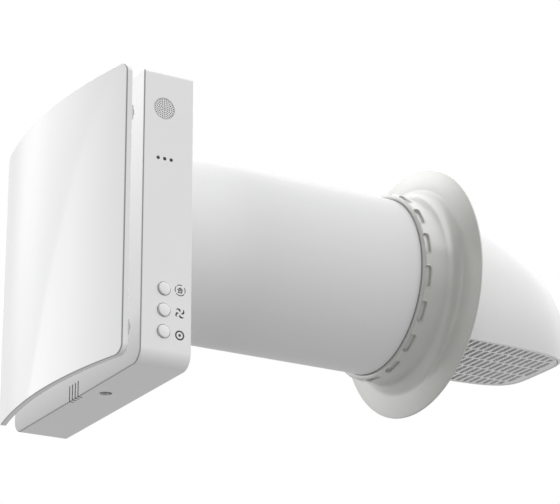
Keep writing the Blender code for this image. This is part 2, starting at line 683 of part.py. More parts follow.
def make_heat_store(mats):
    """The ceramic honeycomb: a round block with straight square channels."""
    store = add_object("heat_store", disc((0, DUCT_AXIS), STORE_RADIUS, "Y", STORE_START, STORE_END, 32),
                       mats["ceramic"])
    half = (STORE_CELL_PITCH - STORE_CELL_WALL) / 2
    cells = bmesh.new()
    reach = int(STORE_RADIUS / STORE_CELL_PITCH) + 1
    for i in range(-reach, reach + 1):
        for j in range(-reach, reach + 1):
            x, z = i * STORE_CELL_PITCH, j * STORE_CELL_PITCH
            if math.hypot(abs(x) + half, abs(z) + half) < STORE_RADIUS - STORE_CELL_WALL:
                box((x - half, STORE_START - 0.001, DUCT_AXIS + z - half),
                    (x + half, STORE_END + 0.001, DUCT_AXIS + z + half), cells)
    cut(store, cells)


def make_cartridge_shell(mats):
    """Two foam half shells that hold the heat store and the fan in the duct."""
    seam = math.radians(0.3)
    for name, start in (("upper", seam), ("lower", math.pi + seam)):
        profile = ring_profile(SHELL_INNER, SHELL_OUTER, SHELL_START, SHELL_END)
        bm = lathe(profile, "Y", (0, DUCT_AXIS), 20, start, math.pi - 2 * seam)
        add_object("cartridge_shell_" + name, bm, mats["foam_white"])


def make_pull_cord(mats):
    """The cord for drawing the cartridge into the room, looped across the front filter."""
    path = []
    for i in range(9):
        a = math.pi * i / 8
        path.append((-0.060 * math.cos(a), -0.0008, DUCT_AXIS - 0.030 * math.sin(a)))
    add_cable("pull_cord", path, 0.0011, mats["cord"])


def fan_blade(bm, angle, inner, outer, low, high, thickness, pitch_degrees, lean=0.0):
    """One twisted blade about the Y axis, from radius inner to outer, as a closed six-sided grid."""
    stations = []
    count = 2
    for i in range(count + 1):
        share = i / count
        radius = inner + (outer - inner) * share
        pitch = math.radians(pitch_degrees * (1 - 0.35 * share))
        half_chord = (high - low) / 2 / math.cos(pitch)
        corners = []
        for s, t in ((-1, -1), (1, -1), (1, 1), (-1, 1)):
            along = s * half_chord * math.cos(pitch) - t * thickness / 2 * math.sin(pitch)
            aside = s * half_chord * math.sin(pitch) + t * thickness / 2 * math.cos(pitch)
            turn = angle + lean * share
            x = radius * math.cos(turn) - aside * math.sin(turn)
            z = radius * math.sin(turn) + aside * math.cos(turn)
            corners.append(bm.verts.new((x, (low + high) / 2 + along, z)))
        stations.append(corners)
    for inner_ring, outer_ring in zip(stations, stations[1:]):
        for i in range(4):
            j = (i + 1) % 4
            bm.faces.new((inner_ring[i], inner_ring[j], outer_ring[j], outer_ring[i]))
    bm.faces.new(stations[0])
    bm.faces.new(stations[-1][::-1])


def make_fan(mats):
    centre = (0, DUCT_AXIS)
    mount_low, mount_high = FAN_END - 0.0080, FAN_END - 0.0055
    housing = lathe(ring_profile(FAN_RING_INNER, FAN_RING_OUTER, FAN_START, FAN_END), "Y", centre, 32)
    lathe(ring_profile(0.0022, 0.0240, mount_low, mount_high), "Y", centre, 16, bm=housing)
    housing = add_object("fan_housing", housing, mats["black_plastic"])
    struts = bmesh.new()
    for i in range(4):
        bar = box((0.0225, mount_low + 0.0004, -0.0020), (0.0680, mount_high - 0.0004, 0.0020))
        turned(bar, Matrix.Rotation(math.pi / 4 + i * math.pi / 2, 4, "Y"))
        turned(bar, Matrix.Translation((0, 0, DUCT_AXIS)))
        copy_into(struts, bar)
    join(housing, struts)

    hub_front, hub_back = 0.1415, mount_low - 0.0015
    bore, cap_wall = SHAFT_RADIUS + GAP, 0.002
    collar_radius, collar_length = 0.0045, 0.0060
    inner_face = hub_front + 0.0045
    profile = [(bore, hub_front), (ROTOR_HUB - 0.004, hub_front), (ROTOR_HUB, hub_front + 0.004),
               (ROTOR_HUB, hub_back), (ROTOR_HUB - cap_wall, hub_back), (ROTOR_HUB - cap_wall, inner_face),
               (collar_radius, inner_face), (collar_radius, hub_front + collar_length),
               (bore, hub_front + collar_length)]
    rotor = add_object("fan_rotor", lathe(profile, "Y", (0, 0), 20), mats["black_plastic"],
                       (0, 0, DUCT_AXIS))
    blades = bmesh.new()
    for i in range(ROTOR_BLADES):
        fan_blade(blades, 2 * math.pi * i / ROTOR_BLADES, ROTOR_HUB - 0.0010, ROTOR_TIP,
                  0.1450, 0.1610, 0.0018, 52, 0.25)
    join(rotor, blades)
    shaft = disc((0, 0), SHAFT_RADIUS, "Y", hub_front + 0.0005, mount_high + 0.0030, 12)
    add_object("fan_shaft", shaft, mats["steel"], (0, 0, DUCT_AXIS))
    stator = lathe(ring_profile(0.0046, 0.0220, 0.1495, mount_low - GAP), "Y", centre, 16)
    add_object("motor_stator", stator, mats["steel"])
    for name, low in (("front", 0.1500), ("rear", 0.1630)):
        race = lathe(ring_profile(SHAFT_RADIUS + GAP, 0.0046 - GAP, low, low + 0.004), "Y", centre, 16)
        add_object("fan_bearing_" + name, race, mats["steel"])


def copy_into(target, source):
    """Adds a bmesh's faces to another and frees it."""
    verts = {v: target.verts.new(v.co) for v in source.verts}
    for face in source.faces:
        target.faces.new([verts[v] for v in face.verts])
    source.free()


def make_guide_vanes(mats):
    centre = (0, DUCT_AXIS)
    hub = [(0, VANES_START), (0.0230, VANES_START), (0.0230, VANES_END - 0.005), (0.0120, VANES_END),
           (0, VANES_END)]
    bm = lathe(hub, "Y", centre, 16)
    lathe(ring_profile(0.0680, STORE_RADIUS, VANES_START, VANES_END), "Y", centre, 32, bm=bm)
    vanes = add_object("guide_vanes", bm, mats["black_plastic"])
    blades = bmesh.new()
    for i in range(VANE_COUNT):
        fan_blade(blades, 2 * math.pi * i / VANE_COUNT, 0.0215, 0.0692, VANES_START + 0.001,
                  VANES_END - 0.006, 0.0016, -28)
    turned(blades, Matrix.Translation((0, 0, DUCT_AXIS)))
    join(vanes, blades)


# Outdoor side

def collar_profile():
    """Closed (radius, y) profile of the soft collar: a hub, a fillet and a dished brim."""
    thickness = 0.0026
    outer = [(0.0832, COLLAR_START), (0.0850, COLLAR_START + 0.0012), (0.0858, 0.2700)]
    for degrees in (15, 45, 75):
        a = math.radians(degrees)
        outer.append((0.0930 - 0.0070 * math.cos(a), 0.2760 + 0.0070 * math.sin(a)))
    outer += [(0.1030, 0.2850), (COLLAR_RIM_RADIUS - 0.0010, COLLAR_RIM_Y - 0.0012)]
    rim = [(COLLAR_RIM_RADIUS, COLLAR_RIM_Y), (COLLAR_RIM_RADIUS - 0.0010, COLLAR_RIM_Y + 0.0012)]
    back = [(0.1030, 0.2850 + thickness), (0.0905, 0.2856), (0.0850, 0.2820), (0.0830, 0.2700),
            (0.0824, 0.2575), (0.0798, 0.2565), (0.0798, COLLAR_START)]
    return outer + rim + back


def make_collar(mats):
    collar = add_object("outdoor_collar", lathe(collar_profile(), "Y", (0, DUCT_AXIS), 2 * COLLAR_SLOTS),
                        mats["collar_grey"])
    slots = bmesh.new()
    low = COLLAR_SLOT_Y - COLLAR_SLOT_WIDTH / 2
    high = COLLAR_SLOT_Y + COLLAR_SLOT_WIDTH / 2
    for i in range(COLLAR_SLOTS):
        slot = prism(rounded_rectangle(low, high, -COLLAR_SLOT_LENGTH / 2, COLLAR_SLOT_LENGTH / 2,
                                       COLLAR_SLOT_WIDTH * 0.4, 1), "X", 0.078, 0.090)
        turned(slot, Matrix.Rotation(2 * math.pi * (i + 0.5) / COLLAR_SLOTS, 4, "Y"))
        turned(slot, Matrix.Translation((0, 0, DUCT_AXIS)))
        copy_into(slots, slot)
    cut(collar, slots)


def hood_section(z, radius, chord, front):
    """Plan outline of the hood's curved front at height z above the duct's axis, from left to right."""
    half = math.sqrt(max(radius * radius - z * z, 0))
    rise = (z + chord) / (radius + chord)
    reach = (front - HOOD_SHOULDER) * (1 - rise * rise)
    return [(-half, HOOD_SHOULDER)] + square_arc(half, reach, HOOD_ARC_STEPS) + [(half, HOOD_SHOULDER)]


def hood_solid(radius, start, step, front, chord, base):
    """A closed solid of the hood's form: a cylinder whose front is rounded down to a flat underside.

    chord shapes the front; base is how far below the axis the underside lies.
    """
    bm = bmesh.new()
    lower_levels, upper_levels = 4, 9

    def level(z, outline):
        return [bm.verts.new((x, y, DUCT_AXIS + z)) for x, y in outline]

    def back_corners(z):
        half = math.sqrt(max(radius * radius - z * z, 0))
        return [(half, step), (half, start), (-half, start), (-half, step)]

    ridge = level(-radius, [(0, step), (0, start)])
    below = []
    first = math.acos(base / radius)
    for i in range(1, lower_levels + 1):
        z = -radius * math.cos(first * i / lower_levels)
        below.append(level(z, back_corners(z)))
    bottom = below[0]
    bm.faces.new((ridge[0], ridge[1], bottom[1], bottom[0]))
    bm.faces.new((ridge[1], ridge[0], bottom[3], bottom[2]))
    bm.faces.new((ridge[1], bottom[2], bottom[1]))
    bm.faces.new((ridge[0], bottom[0], bottom[3]))
    for lower, upper in zip(below, below[1:]):
        for i in range(4):
            j = (i + 1) % 4
            bm.faces.new((lower[i], lower[j], upper[j], upper[i]))
    seat = below[-1]
    front_arc = level(-base, hood_section(-base, radius, chord, front))
    current = seat + front_arc
    bm.faces.new([seat[3]] + front_arc + [seat[0]])
    low = math.asin(-base / radius)
    for i in range(1, upper_levels):
        z = radius * math.sin(low + (math.pi / 2 - low) * i / upper_levels)
        following = level(z, back_corners(z) + hood_section(z, radius, chord, front))
        for a in range(len(current)):
            b = (a + 1) % len(current)
            bm.faces.new((current[a], current[b], following[b], following[a]))
        current = following
    crown = level(radius, [(0, HOOD_SHOULDER), (0, step), (0, start)])
    shoulder, ledge, rear = crown
    right_ledge, right_rear, left_rear, left_ledge = current[:4]
    arc = current[4:]
    bm.faces.new((left_rear, right_rear, rear))
    bm.faces.new((right_rear, right_ledge, ledge, rear))
    bm.faces.new((left_ledge, left_rear, rear, ledge))
    bm.faces.new((arc[0], left_ledge, ledge, shoulder))
    bm.faces.new((right_ledge, arc[-1], shoulder, ledge))
    for a, b in zip(arc, arc[1:]):
        bm.faces.new((a, b, shoulder))
    return bm


def make_hood(mats):
    outer = hood_solid(HOOD_RADIUS, HOOD_START, HOOD_STEP, HOOD_FRONT, HOOD_CHORD, HOOD_CHORD)
    hood = add_object("hood_shell", outer, mats["hood_white"])
    inner = hood_solid(HOOD_RADIUS - HOOD_WALL, HOOD_START - 0.001, HOOD_STEP - HOOD_WALL,
                       HOOD_FRONT - HOOD_WALL, HOOD_CHORD, HOOD_CHORD + 0.001)
    cut(hood, inner)
    spigot = lathe(ring_profile(0.0742, 0.0766, 0.2280, 0.2660), "Y", (0, DUCT_AXIS), 44)
    add_object("hood_spigot", spigot, mats["hood_white"])


def underside_size(inset):
    """Half width of the opening in the hood's underside and its reach forward, less an inset."""
    half = math.sqrt((HOOD_RADIUS - HOOD_WALL) ** 2 - HOOD_CHORD ** 2) - inset
    reach = HOOD_FRONT - HOOD_WALL - HOOD_DRAFT - inset - HOOD_SHOULDER
    return half, reach


def square_arc(half, reach, steps):
    """The squarish arc of the hood's plan outline, from left to right, between its two shoulders."""
    points = []
    for i in range(1, steps):
        a = math.pi * i / steps
        across = -math.copysign(abs(math.cos(a)) ** (2 / HOOD_SQUARENESS), math.cos(a))
        points.append((half * across, HOOD_SHOULDER + reach * math.sin(a) ** (2 / HOOD_SQUARENESS)))
    return points


def underside_half_width(y, inset):
    """Half the width of that opening at depth y, less an inset."""
    half, reach = underside_size(inset)
    share = min(max((y - HOOD_SHOULDER) / reach, 0.0), 1.0)
    return half * (1 - share ** HOOD_SQUARENESS) ** (1 / HOOD_SQUARENESS)


def grille_outline(inset, back):
    half, reach = underside_size(inset)
    sides = [(half, HOOD_SHOULDER), (half, back), (-half, back), (-half, HOOD_SHOULDER)]
    return sides + square_arc(half, reach, HOOD_ARC_STEPS)


def make_hood_grille(mats):
    """The slotted plate that closes the hood's underside, and the insect mesh above it."""
    low = DUCT_AXIS - HOOD_CHORD
    back = HOOD_STEP + GAP
    plate = add_object("hood_grille", prism(grille_outline(GAP, back), "Z", low, low + GRILLE_THICKNESS),
                       mats["hood_white"])
    slots = bmesh.new()
    for row in range(GRILLE_ROWS):
        x = (row - (GRILLE_ROWS - 1) / 2) * GRILLE_ROW_PITCH
        stagger = GRILLE_SLOT_PITCH / 2 * (row % 2)
        count = int((HOOD_FRONT - back) / GRILLE_SLOT_PITCH)
        for i in range(count):
            y = back + 0.0055 + stagger + i * GRILLE_SLOT_PITCH
            room = underside_half_width(y + GRILLE_SLOT_WIDTH / 2, GRILLE_RIM)
            left = max(x - GRILLE_SLOT_LENGTH / 2, -room)
            right = min(x + GRILLE_SLOT_LENGTH / 2, room)
            if right - left > GRILLE_SLOT_LENGTH / 3:
                box((left, y - GRILLE_SLOT_WIDTH / 2, low - 0.001),
                    (right, y + GRILLE_SLOT_WIDTH / 2, low + GRILLE_THICKNESS + 0.001), slots)
    cut(plate, slots)

    sheet_low = low + GRILLE_THICKNESS + 0.0012
    half, front = 0.0490, 0.4080
    sheet = add_object("insect_mesh",
                       box((-half, back + 0.002, sheet_low), (half, front, sheet_low + 0.0008)),
                       mats["black_plastic"])
    holes = bmesh.new()
    opening = (MESH_PITCH - MESH_WIRE) / 2
    for i in range(-1, 2):
        for j in range(4):
            x, y = i * MESH_PITCH * 1.2, back + 0.0200 + j * MESH_PITCH
            box((x - opening, y - opening, sheet_low - 0.001),
                (x + opening, y + opening, sheet_low + 0.002), holes)
    cut(sheet, holes)


def build():
    clear_scene()
    mats = make_materials()
    make_casing(mats)
    make_mounting_plate(mats)
    make_panel(mats)
    make_panel_studs(mats)
    make_buttons(mats)
    make_controls(mats)
    make_power_parts(mats)
    make_shutter_frame(mats)
    make_blades(mats)
    make_shutter_drive(mats)
    make_duct(mats)
    make_filters(mats)
    make_heat_store(mats)
    make_cartridge_shell(mats)
    make_pull_cord(mats)
    make_fan(mats)
    make_guide_vanes(mats)
    make_collar(mats)
    make_hood(mats)
    make_hood_grille(mats)


build()
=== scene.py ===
"""The looks of a through-wall heat recovery unit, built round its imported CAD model.

Units are metres in the part's own frame: +Y points outwards through the wall, +X to the right as seen
from the room, +Z up. The wall face is the plane Y = 0.
"""

import json
import math

import bmesh
import bpy
from mathutils import Matrix, Vector

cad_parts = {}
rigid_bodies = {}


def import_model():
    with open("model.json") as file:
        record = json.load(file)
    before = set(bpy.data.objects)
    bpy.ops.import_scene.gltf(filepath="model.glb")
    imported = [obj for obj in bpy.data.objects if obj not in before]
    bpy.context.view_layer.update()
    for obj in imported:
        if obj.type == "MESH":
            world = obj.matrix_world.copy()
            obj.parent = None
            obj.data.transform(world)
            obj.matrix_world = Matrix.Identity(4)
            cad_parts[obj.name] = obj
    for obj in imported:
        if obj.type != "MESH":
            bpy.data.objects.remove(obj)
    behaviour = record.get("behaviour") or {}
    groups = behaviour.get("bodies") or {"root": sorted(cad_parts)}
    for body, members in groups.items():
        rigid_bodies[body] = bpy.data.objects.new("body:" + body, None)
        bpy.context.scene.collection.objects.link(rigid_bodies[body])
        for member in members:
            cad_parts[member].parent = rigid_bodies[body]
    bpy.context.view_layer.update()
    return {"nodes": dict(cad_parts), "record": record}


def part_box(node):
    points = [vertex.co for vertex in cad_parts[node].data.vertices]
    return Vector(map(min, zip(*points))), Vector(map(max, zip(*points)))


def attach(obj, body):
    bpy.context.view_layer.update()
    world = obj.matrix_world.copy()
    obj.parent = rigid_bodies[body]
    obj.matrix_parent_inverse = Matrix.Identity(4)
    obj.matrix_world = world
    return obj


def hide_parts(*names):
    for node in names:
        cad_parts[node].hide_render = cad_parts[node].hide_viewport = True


for leftover in list(bpy.data.objects):
    bpy.data.objects.remove(leftover, do_unlink=True)

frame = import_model()

# Measures read from the frame
CASE_LOW, CASE_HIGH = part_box("casing")
DUCT_LOW, DUCT_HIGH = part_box("wall_duct")
COLLAR_LOW, COLLAR_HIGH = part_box("outdoor_collar")
HOOD_LOW, HOOD_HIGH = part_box("hood_shell")
GRILLE_LOW, GRILLE_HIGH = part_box("hood_grille")
PANEL_LOW, PANEL_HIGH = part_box("front_panel")
AXIS_Z = (DUCT_LOW.z + DUCT_HIGH.z) / 2
AXIS = (0.0, AXIS_Z)
DUCT_RADIUS = DUCT_HIGH.x
HOOD_RADIUS = HOOD_HIGH.x

# Measures of the finish and of features finer than the frame's
WALL = 0.0025                     # casing and duct wall
CASE_CORNER = 0.012               # lower corners
CASE_TOP_CORNER = 0.003
CASE_EDGE = 0.0012                # fillet round the casing's front face
REAR_EDGE = 0.0003
PANEL_CORNER = 0.009
PANEL_THICKNESS = 0.0055
PANEL_EDGE = 0.0010
AIR_RADIUS = 0.070
SLOT_PITCH = 0.0054               # slots in the casing's lower front edge
SLOT_WIDTH = 0.0019
SLOT_HEIGHT = 0.0135
SLOT_DEPTH = 0.0040
SLOT_CENTRES = [(i - 1.5) * SLOT_PITCH for i in range(4)]
BUTTONS = ("airflow_button", "speed_button", "mode_button")
BUTTON_RADIUS = 0.0053
SIGN_Y = -0.0102                  # the printed signs stand behind the buttons
LIGHT_PITCH = 0.0059
LIGHT_RADIUS = 0.0014
SOUNDER_RADIUS = 0.0093
SCREW_HEAD = 0.0020
GAP = 0.0003
HOOD_WALL = 0.0018
HOOD_SHOULDER = 0.2920
HOOD_SQUARENESS = 5.0
HOOD_CHORD = AXIS_Z - GRILLE_LOW.z
GRILLE_ROWS = 5
GRILLE_ROW_PITCH = 0.0221
GRILLE_SLOT_LENGTH = 0.0200
GRILLE_SLOT_WIDTH = 0.0042
GRILLE_SLOT_PITCH = 0.0068
GRILLE_RIM = 0.0013
COLLAR_SLOTS = 17
COLLAR_SLOT_Y = 0.2518
COLLAR_SLOT_LENGTH = 0.0190
COLLAR_SLOT_WIDTH = 0.0048


# Materials

def feed(tree, target, inputs):
    """Sets inputs of a shader node. An input that is given a socket is linked to it."""
    for key, value in inputs.items():
        if isinstance(value, bpy.types.NodeSocket):
            tree.links.new(value, target.inputs[key])
        else:
            target.inputs[key].default_value = value


def node(tree, kind, inputs=None, **settings):
    made = tree.nodes.new("ShaderNode" + kind)
    for key, value in settings.items():
        setattr(made, key, value)
    feed(tree, made, inputs or {})
    return made


def calculate(tree, operation, first, second):
    return node(tree, "Math", {0: first, 1: second}, operation=operation).outputs["Value"]


def times(tree, product, *factors):
    for factor in factors:
        product = calculate(tree, "MULTIPLY", product, factor)
    return product


def without(tree, share):
    """What is left of one when a share is taken off."""
    return calculate(tree, "SUBTRACT", 1.0, share)


def ramp(tree, value, start, end, low=0.0, high=1.0, easing="LINEAR"):
    """Goes from low to high while the value goes from start to end, and is level outside."""
    return node(tree, "MapRange", {"Value": value, "From Min": start, "From Max": end, "To Min": low,
                                   "To Max": high}, interpolation_type=easing).outputs["Result"]


def remap(tree, value, low, high, from_low=0.3, from_high=0.7):
    """Carries a pattern's usual range over to low and high."""
    return ramp(tree, value, from_low, from_high, low, high)


def blend(tree, factor, first, second, kind="FLOAT", **settings):
    mixed = node(tree, "Mix", {"Factor": factor, "A": first, "B": second}, data_type=kind, **settings)
    return mixed.outputs["Result"]


def tinted(tree, colour, strength):
    """A colour, or a socket that carries one, times a strength."""
    if not isinstance(colour, bpy.types.NodeSocket):
        colour = (*colour, 1.0)
    return blend(tree, 1.0, colour, strength, "RGBA", blend_type="MULTIPLY")


def dot(tree, vector, axis):
    return node(tree, "VectorMath", {0: vector, 1: axis}, operation="DOT_PRODUCT").outputs["Value"]


def normal(tree):
    return node(tree, "NewGeometry").outputs["Normal"]


def component(tree, vector, axis):
    return node(tree, "SeparateXYZ", {"Vector": vector}).outputs[axis]


def coordinates(tree, scale=(1.0, 1.0, 1.0)):
    """Object coordinates in metres, stretched by a scale."""
    source = node(tree, "TexCoord").outputs["Object"]
    return node(tree, "Mapping", {"Vector": source, "Scale": scale}).outputs["Vector"]


def occlusion_shade(tree, distance):
    """Ambient occlusion for painted shade: one on open surfaces, and less in corners and holes."""
    return node(tree, "AmbientOcclusion", {"Distance": distance}, samples=6).outputs["AO"]


def noise(tree, vector, scale, detail=3.0, roughness=0.55):
    return node(tree, "TexNoise", {"Vector": vector, "Scale": scale, "Detail": detail,
                                   "Roughness": roughness}).outputs["Fac"]


def bump(tree, height, distance, strength=1.0, under=None):
    inputs = {"Height": height, "Distance": distance, "Strength": strength}
    if under is not None:
        inputs["Normal"] = under
    return node(tree, "Bump", inputs).outputs["Normal"]


def new_material(name):
    made = bpy.data.materials.new(name)
    made.use_nodes = True
    return made, made.node_tree


def give(made, inputs):
    """Sets or links inputs of a material's main shader."""
    feed(made.node_tree, made.node_tree.nodes["Principled BSDF"], inputs)
    return made


def source_of(made, name):
    """The socket that feeds an input of a material's main shader."""
    return made.node_tree.nodes["Principled BSDF"].inputs[name].links[0].from_socket


def toned(made, factor):
    """Multiplies a material's base colour by a factor socket."""
    return give(made, {"Base Color": tinted(made.node_tree, source_of(made, "Base Color"), factor)})


def moulded(name, colour, roughness, grain=2600.0, depth=0.00003, mottle=0.02,
            stretch=(1.0, 1.0, 1.0), flow=0.0):
    """Moulded or extruded plastic: fine tool grain, faint flow shading and uneven gloss."""
    made, tree = new_material(name)
    stretched = coordinates(tree, stretch)
    shade = remap(tree, noise(tree, stretched, 26.0, 4.0), 1.0 - mottle, 1.0)
    patches = noise(tree, stretched, 190.0)
    surface = bump(tree, noise(tree, coordinates(tree), grain, 2.0), depth)
    if flow:
        surface = bump(tree, patches, flow, 1.0, surface)
    return give(made, {"Base Color": tinted(tree, colour, shade), "Normal": surface, "IOR": 1.5,
                       "Roughness": remap(tree, patches, roughness - 0.03, roughness + 0.04)})


def casing_white():
    """Satin sides, and a front as glossy as the panel before it, with a painted shadow towards its lower
    end, a painted brightening near its top, and painted shade in its holes and wells.
    """
    made = moulded("casing_satin_white", (0.82, 0.82, 0.825), 0.42, mottle=0.015)
    tree = made.node_tree
    front = ramp(tree, component(tree, normal(tree), "Y"), -0.80, -0.97)
    height = component(tree, coordinates(tree), "Z")
    # Painted shadow on the front face: darker towards the lower end, where the panel would shade it, and a
    # little lighter near the top.
    lower = ramp(tree, height, -0.035, 0.012, 0.34, 0.0)
    upper = ramp(tree, height, 0.0, 0.20, 0.24, -0.08)
    shadow = times(tree, calculate(tree, "ADD", lower, upper), front)
    give(made, {"Roughness": blend(tree, front, source_of(made, "Roughness"), 0.10),
                "Coat Weight": times(tree, front, ramp(tree, height, 0.0, 0.20, 0.0, 0.8))})
    # Painted shade from ambient occlusion, darkening holes and wells.
    hole_shade = remap(tree, occlusion_shade(tree, 0.005), 0.45, 1.0, 0.2, 0.8)
    return toned(made, times(tree, without(tree, shadow), hole_shade))


def duct_white():
    """Extruded tube, with painted light that makes it a little whiter towards the indoor end, cancelling the
    shade the casing casts there.
    """
    made = moulded("duct_extruded_white", (0.775, 0.775, 0.78), 0.36, depth=0.00002, mottle=0.012,
                   stretch=(5.0, 0.35, 5.0), flow=0.000002)
    tree = give(made, {"Specular IOR Level": 0.05}).node_tree
    along = component(tree, coordinates(tree), "Y")
    # Painted light: up to a quarter brighter near the casing.
    return toned(made, ramp(tree, along, 0.0, 0.10, 1.24, 1.0, "SMOOTHSTEP"))


def hood_white():
    """Moulded white, with painted shade where the hood faces straight away from the wall."""
    made = moulded("hood_moulded_white", (0.92, 0.92, 0.92), 0.40)
    tree = made.node_tree
    # Painted shade: darker as the surface turns to face away from the wall.
    return toned(made, ramp(tree, component(tree, normal(tree), "Y"), 0.35, 0.90, 1.0, 0.76))


def button_satin():
    """Satin caps whose rims are darker on the side away from the light."""
    made = moulded("button_satin", (0.85, 0.85, 0.86), 0.36)
    tree = made.node_tree
    away = dot(tree, normal(tree), (0.0, -0.85, -0.53))
    return toned(made, ramp(tree, away, 0.22, 0.60, 1.0, 0.58, "SMOOTHSTEP"))


def paint_edge_shade(made, dark, back):
    """Paints shade on the narrow rounded edges between a piece's front and its sides, forward of the depth
    back: a dark line that stands in for the dark reflection along those edges.
    """
    tree = made.node_tree
    facing = component(tree, normal(tree), "Y")
    turning = times(tree, ramp(tree, facing, -0.04, -0.25), ramp(tree, facing, -0.80, -0.95, dark, 0.0))
    near = ramp(tree, component(tree, coordinates(tree), "Y"), back, back + 0.0003, 1.0, 0.0)
    return toned(made, without(tree, times(tree, turning, near)))


def panel_rim_shade(made):
    """Paints shade on the panel's narrow side and lower edges, and a painted dark line behind the lower one.
    """
    tree = made.node_tree
    x, y, z = (component(tree, normal(tree), axis) for axis in "XYZ")
    # Painted shade: a line along the lower back edge, and a darker side and underside, where less light
    # falls.
    line = times(tree, ramp(tree, y, 0.05, 0.30), ramp(tree, z, -0.15, -0.40, 0.0, 0.55))
    side, under = ramp(tree, x, 0.5, 0.9, 1.0, 0.92), ramp(tree, z, -0.5, -0.9, 1.0, 0.84)
    return toned(made, times(tree, without(tree, line), side, under))


def panel_gloss(name):
    """High-gloss white with a faint orange peel under its lacquer."""
    made, tree = new_material(name)
    vector = coordinates(tree)
    peel = noise(tree, vector, 420.0, 2.0)
    shade = remap(tree, noise(tree, vector, 14.0), 0.985, 1.0)
    return give(made, {"Base Color": tinted(tree, (0.86, 0.86, 0.865), shade),
                       "Roughness": remap(tree, noise(tree, vector, 60.0), 0.09, 0.13),
                       "Normal": bump(tree, peel, 0.000004), "Coat Normal": bump(tree, peel, 0.000002),
                       "Coat Weight": 0.7, "Coat Roughness": 0.04})


def brushed_steel():
    """Zinc-plated sheet: spangles of differing gloss and fine rolling lines."""
    made, tree = new_material("zinc_steel")
    spangle = node(tree, "TexVoronoi", {"Vector": coordinates(tree), "Scale": 260.0, "Randomness": 1.0})
    shade = node(tree, "SeparateColor", {"Color": spangle.outputs["Color"]}).outputs["Red"]
    lines = noise(tree, coordinates(tree, (30.0, 900.0, 900.0)), 1.0, 2.0)
    colour = tinted(tree, (0.66, 0.67, 0.68), remap(tree, shade, 0.94, 1.0, 0.0, 1.0))
    return give(made, {"Base Color": colour, "Roughness": remap(tree, shade, 0.36, 0.44, 0.0, 1.0),
                       "Normal": bump(tree, lines, 0.000002), "Metallic": 1.0})


def rubber_grey():
    """Soft collar rubber: semi-gloss, slightly cloudy, with painted shade that darkens its slots and
    corners.
    """
    made, tree = new_material("collar_rubber")
    vector = coordinates(tree)
    # Random cloudy tone, times painted shade from ambient occlusion.
    shade = times(tree, remap(tree, noise(tree, vector, 30.0, 5.0), 0.94, 1.0),
                  remap(tree, occlusion_shade(tree, 0.006), 0.60, 1.0, 0.2, 0.9))
    return give(made, {"Base Color": tinted(tree, (0.490, 0.487, 0.463), shade),
                       "Roughness": remap(tree, noise(tree, vector, 120.0), 0.30, 0.40),
                       "Normal": bump(tree, noise(tree, vector, 1900.0, 2.0), 0.00002),
                       "Sheen Weight": 0.10, "Sheen Roughness": 0.5, "Coat Weight": 1.0, "Coat IOR": 1.95,
                       "Coat Roughness": 0.22})


def foam(name, colour, cell):
    """Open-cell foam: pits of many sizes, with painted shade in their bottoms."""
    made, tree = new_material(name)
    vector = coordinates(tree)
    pits = node(tree, "TexVoronoi", {"Vector": vector, "Scale": cell, "Randomness": 1.0}).outputs["Distance"]
    small = bump(tree, noise(tree, vector, cell * 2.5), 0.0002)
    # Painted shade: the colour darkens towards the bottom of each pit.
    return give(made, {"Base Color": tinted(tree, colour, remap(tree, pits, 0.55, 1.0, 0.0, 0.5)),
                       "Normal": bump(tree, pits, 0.0006, 0.8, small), "Roughness": 0.95})


def fired_ceramic():
    """Dry extruded ceramic: speckled, with drag lines along its channels."""
    made, tree = new_material("fired_ceramic")
    speck = noise(tree, coordinates(tree), 900.0, 2.0, 0.8)
    drag = noise(tree, coordinates(tree, (900.0, 20.0, 900.0)), 1.0)
    shade = times(tree, remap(tree, speck, 0.82, 1.0), remap(tree, drag, 0.92, 1.0))
    return give(made, {"Base Color": tinted(tree, (0.78, 0.71, 0.60), shade),
                       "Normal": bump(tree, speck, 0.00008), "Roughness": 0.88})


def circuit_board():
    """Green solder mask over copper tracks, which run square across the board."""
    made, tree = new_material("circuit_board")
    vector = coordinates(tree)
    tracks = node(tree, "TexVoronoi", {"Vector": vector, "Scale": 330.0, "Randomness": 0.55},
                  feature="F1", distance="MANHATTAN").outputs["Distance"]
    edge = ramp(tree, tracks, 0.28, 0.34)
    mask, track = (0.02, 0.16, 0.07, 1.0), (0.05, 0.30, 0.13, 1.0)
    return give(made, {"Base Color": blend(tree, edge, mask, track, "RGBA"),
                       "Normal": bump(tree, edge, 0.00004),
                       "Roughness": remap(tree, noise(tree, vector, 300.0), 0.25, 0.38)})


def braided_cord():
    """Twisted pale yarn: two crossing waves of strands, with painted shade in the grooves between them."""
    made, tree = new_material("braided_cord")
    waves = [node(tree, "TexWave", {"Vector": coordinates(tree), "Scale": 900.0, "Distortion": 1.5},
                  bands_direction=direction).outputs["Fac"] for direction in ("X", "DIAGONAL")]
    weave = times(tree, *waves)
    # Painted shade: darker where the weave is low.
    shade = remap(tree, weave, 0.65, 1.0, 0.0, 0.6)
    return give(made, {"Base Color": tinted(tree, (0.76, 0.73, 0.64), shade),
                       "Normal": bump(tree, weave, 0.0003), "Roughness": 0.9})


def dark_lens():
    made, tree = new_material("dark_lens")
    cloud = noise(tree, coordinates(tree), 700.0)
    return give(made, {"Base Color": tinted(tree, (0.055, 0.055, 0.06), remap(tree, cloud, 0.7, 1.0)),
                       "Roughness": remap(tree, cloud, 0.10, 0.18), "Transmission Weight": 0.15})


def printed_ink():
    """Pad-printed ink: dark grey, a little uneven where the pad left it thin."""
    made, tree = new_material("printed_ink")
    thin = remap(tree, noise(tree, coordinates(tree), 2400.0), 0.0, 0.25, 0.45, 0.75)
    colour = blend(tree, thin, (0.045, 0.045, 0.05, 1.0), (0.16, 0.16, 0.165, 1.0), "RGBA")
    return give(made, {"Base Color": colour, "Roughness": 0.5})


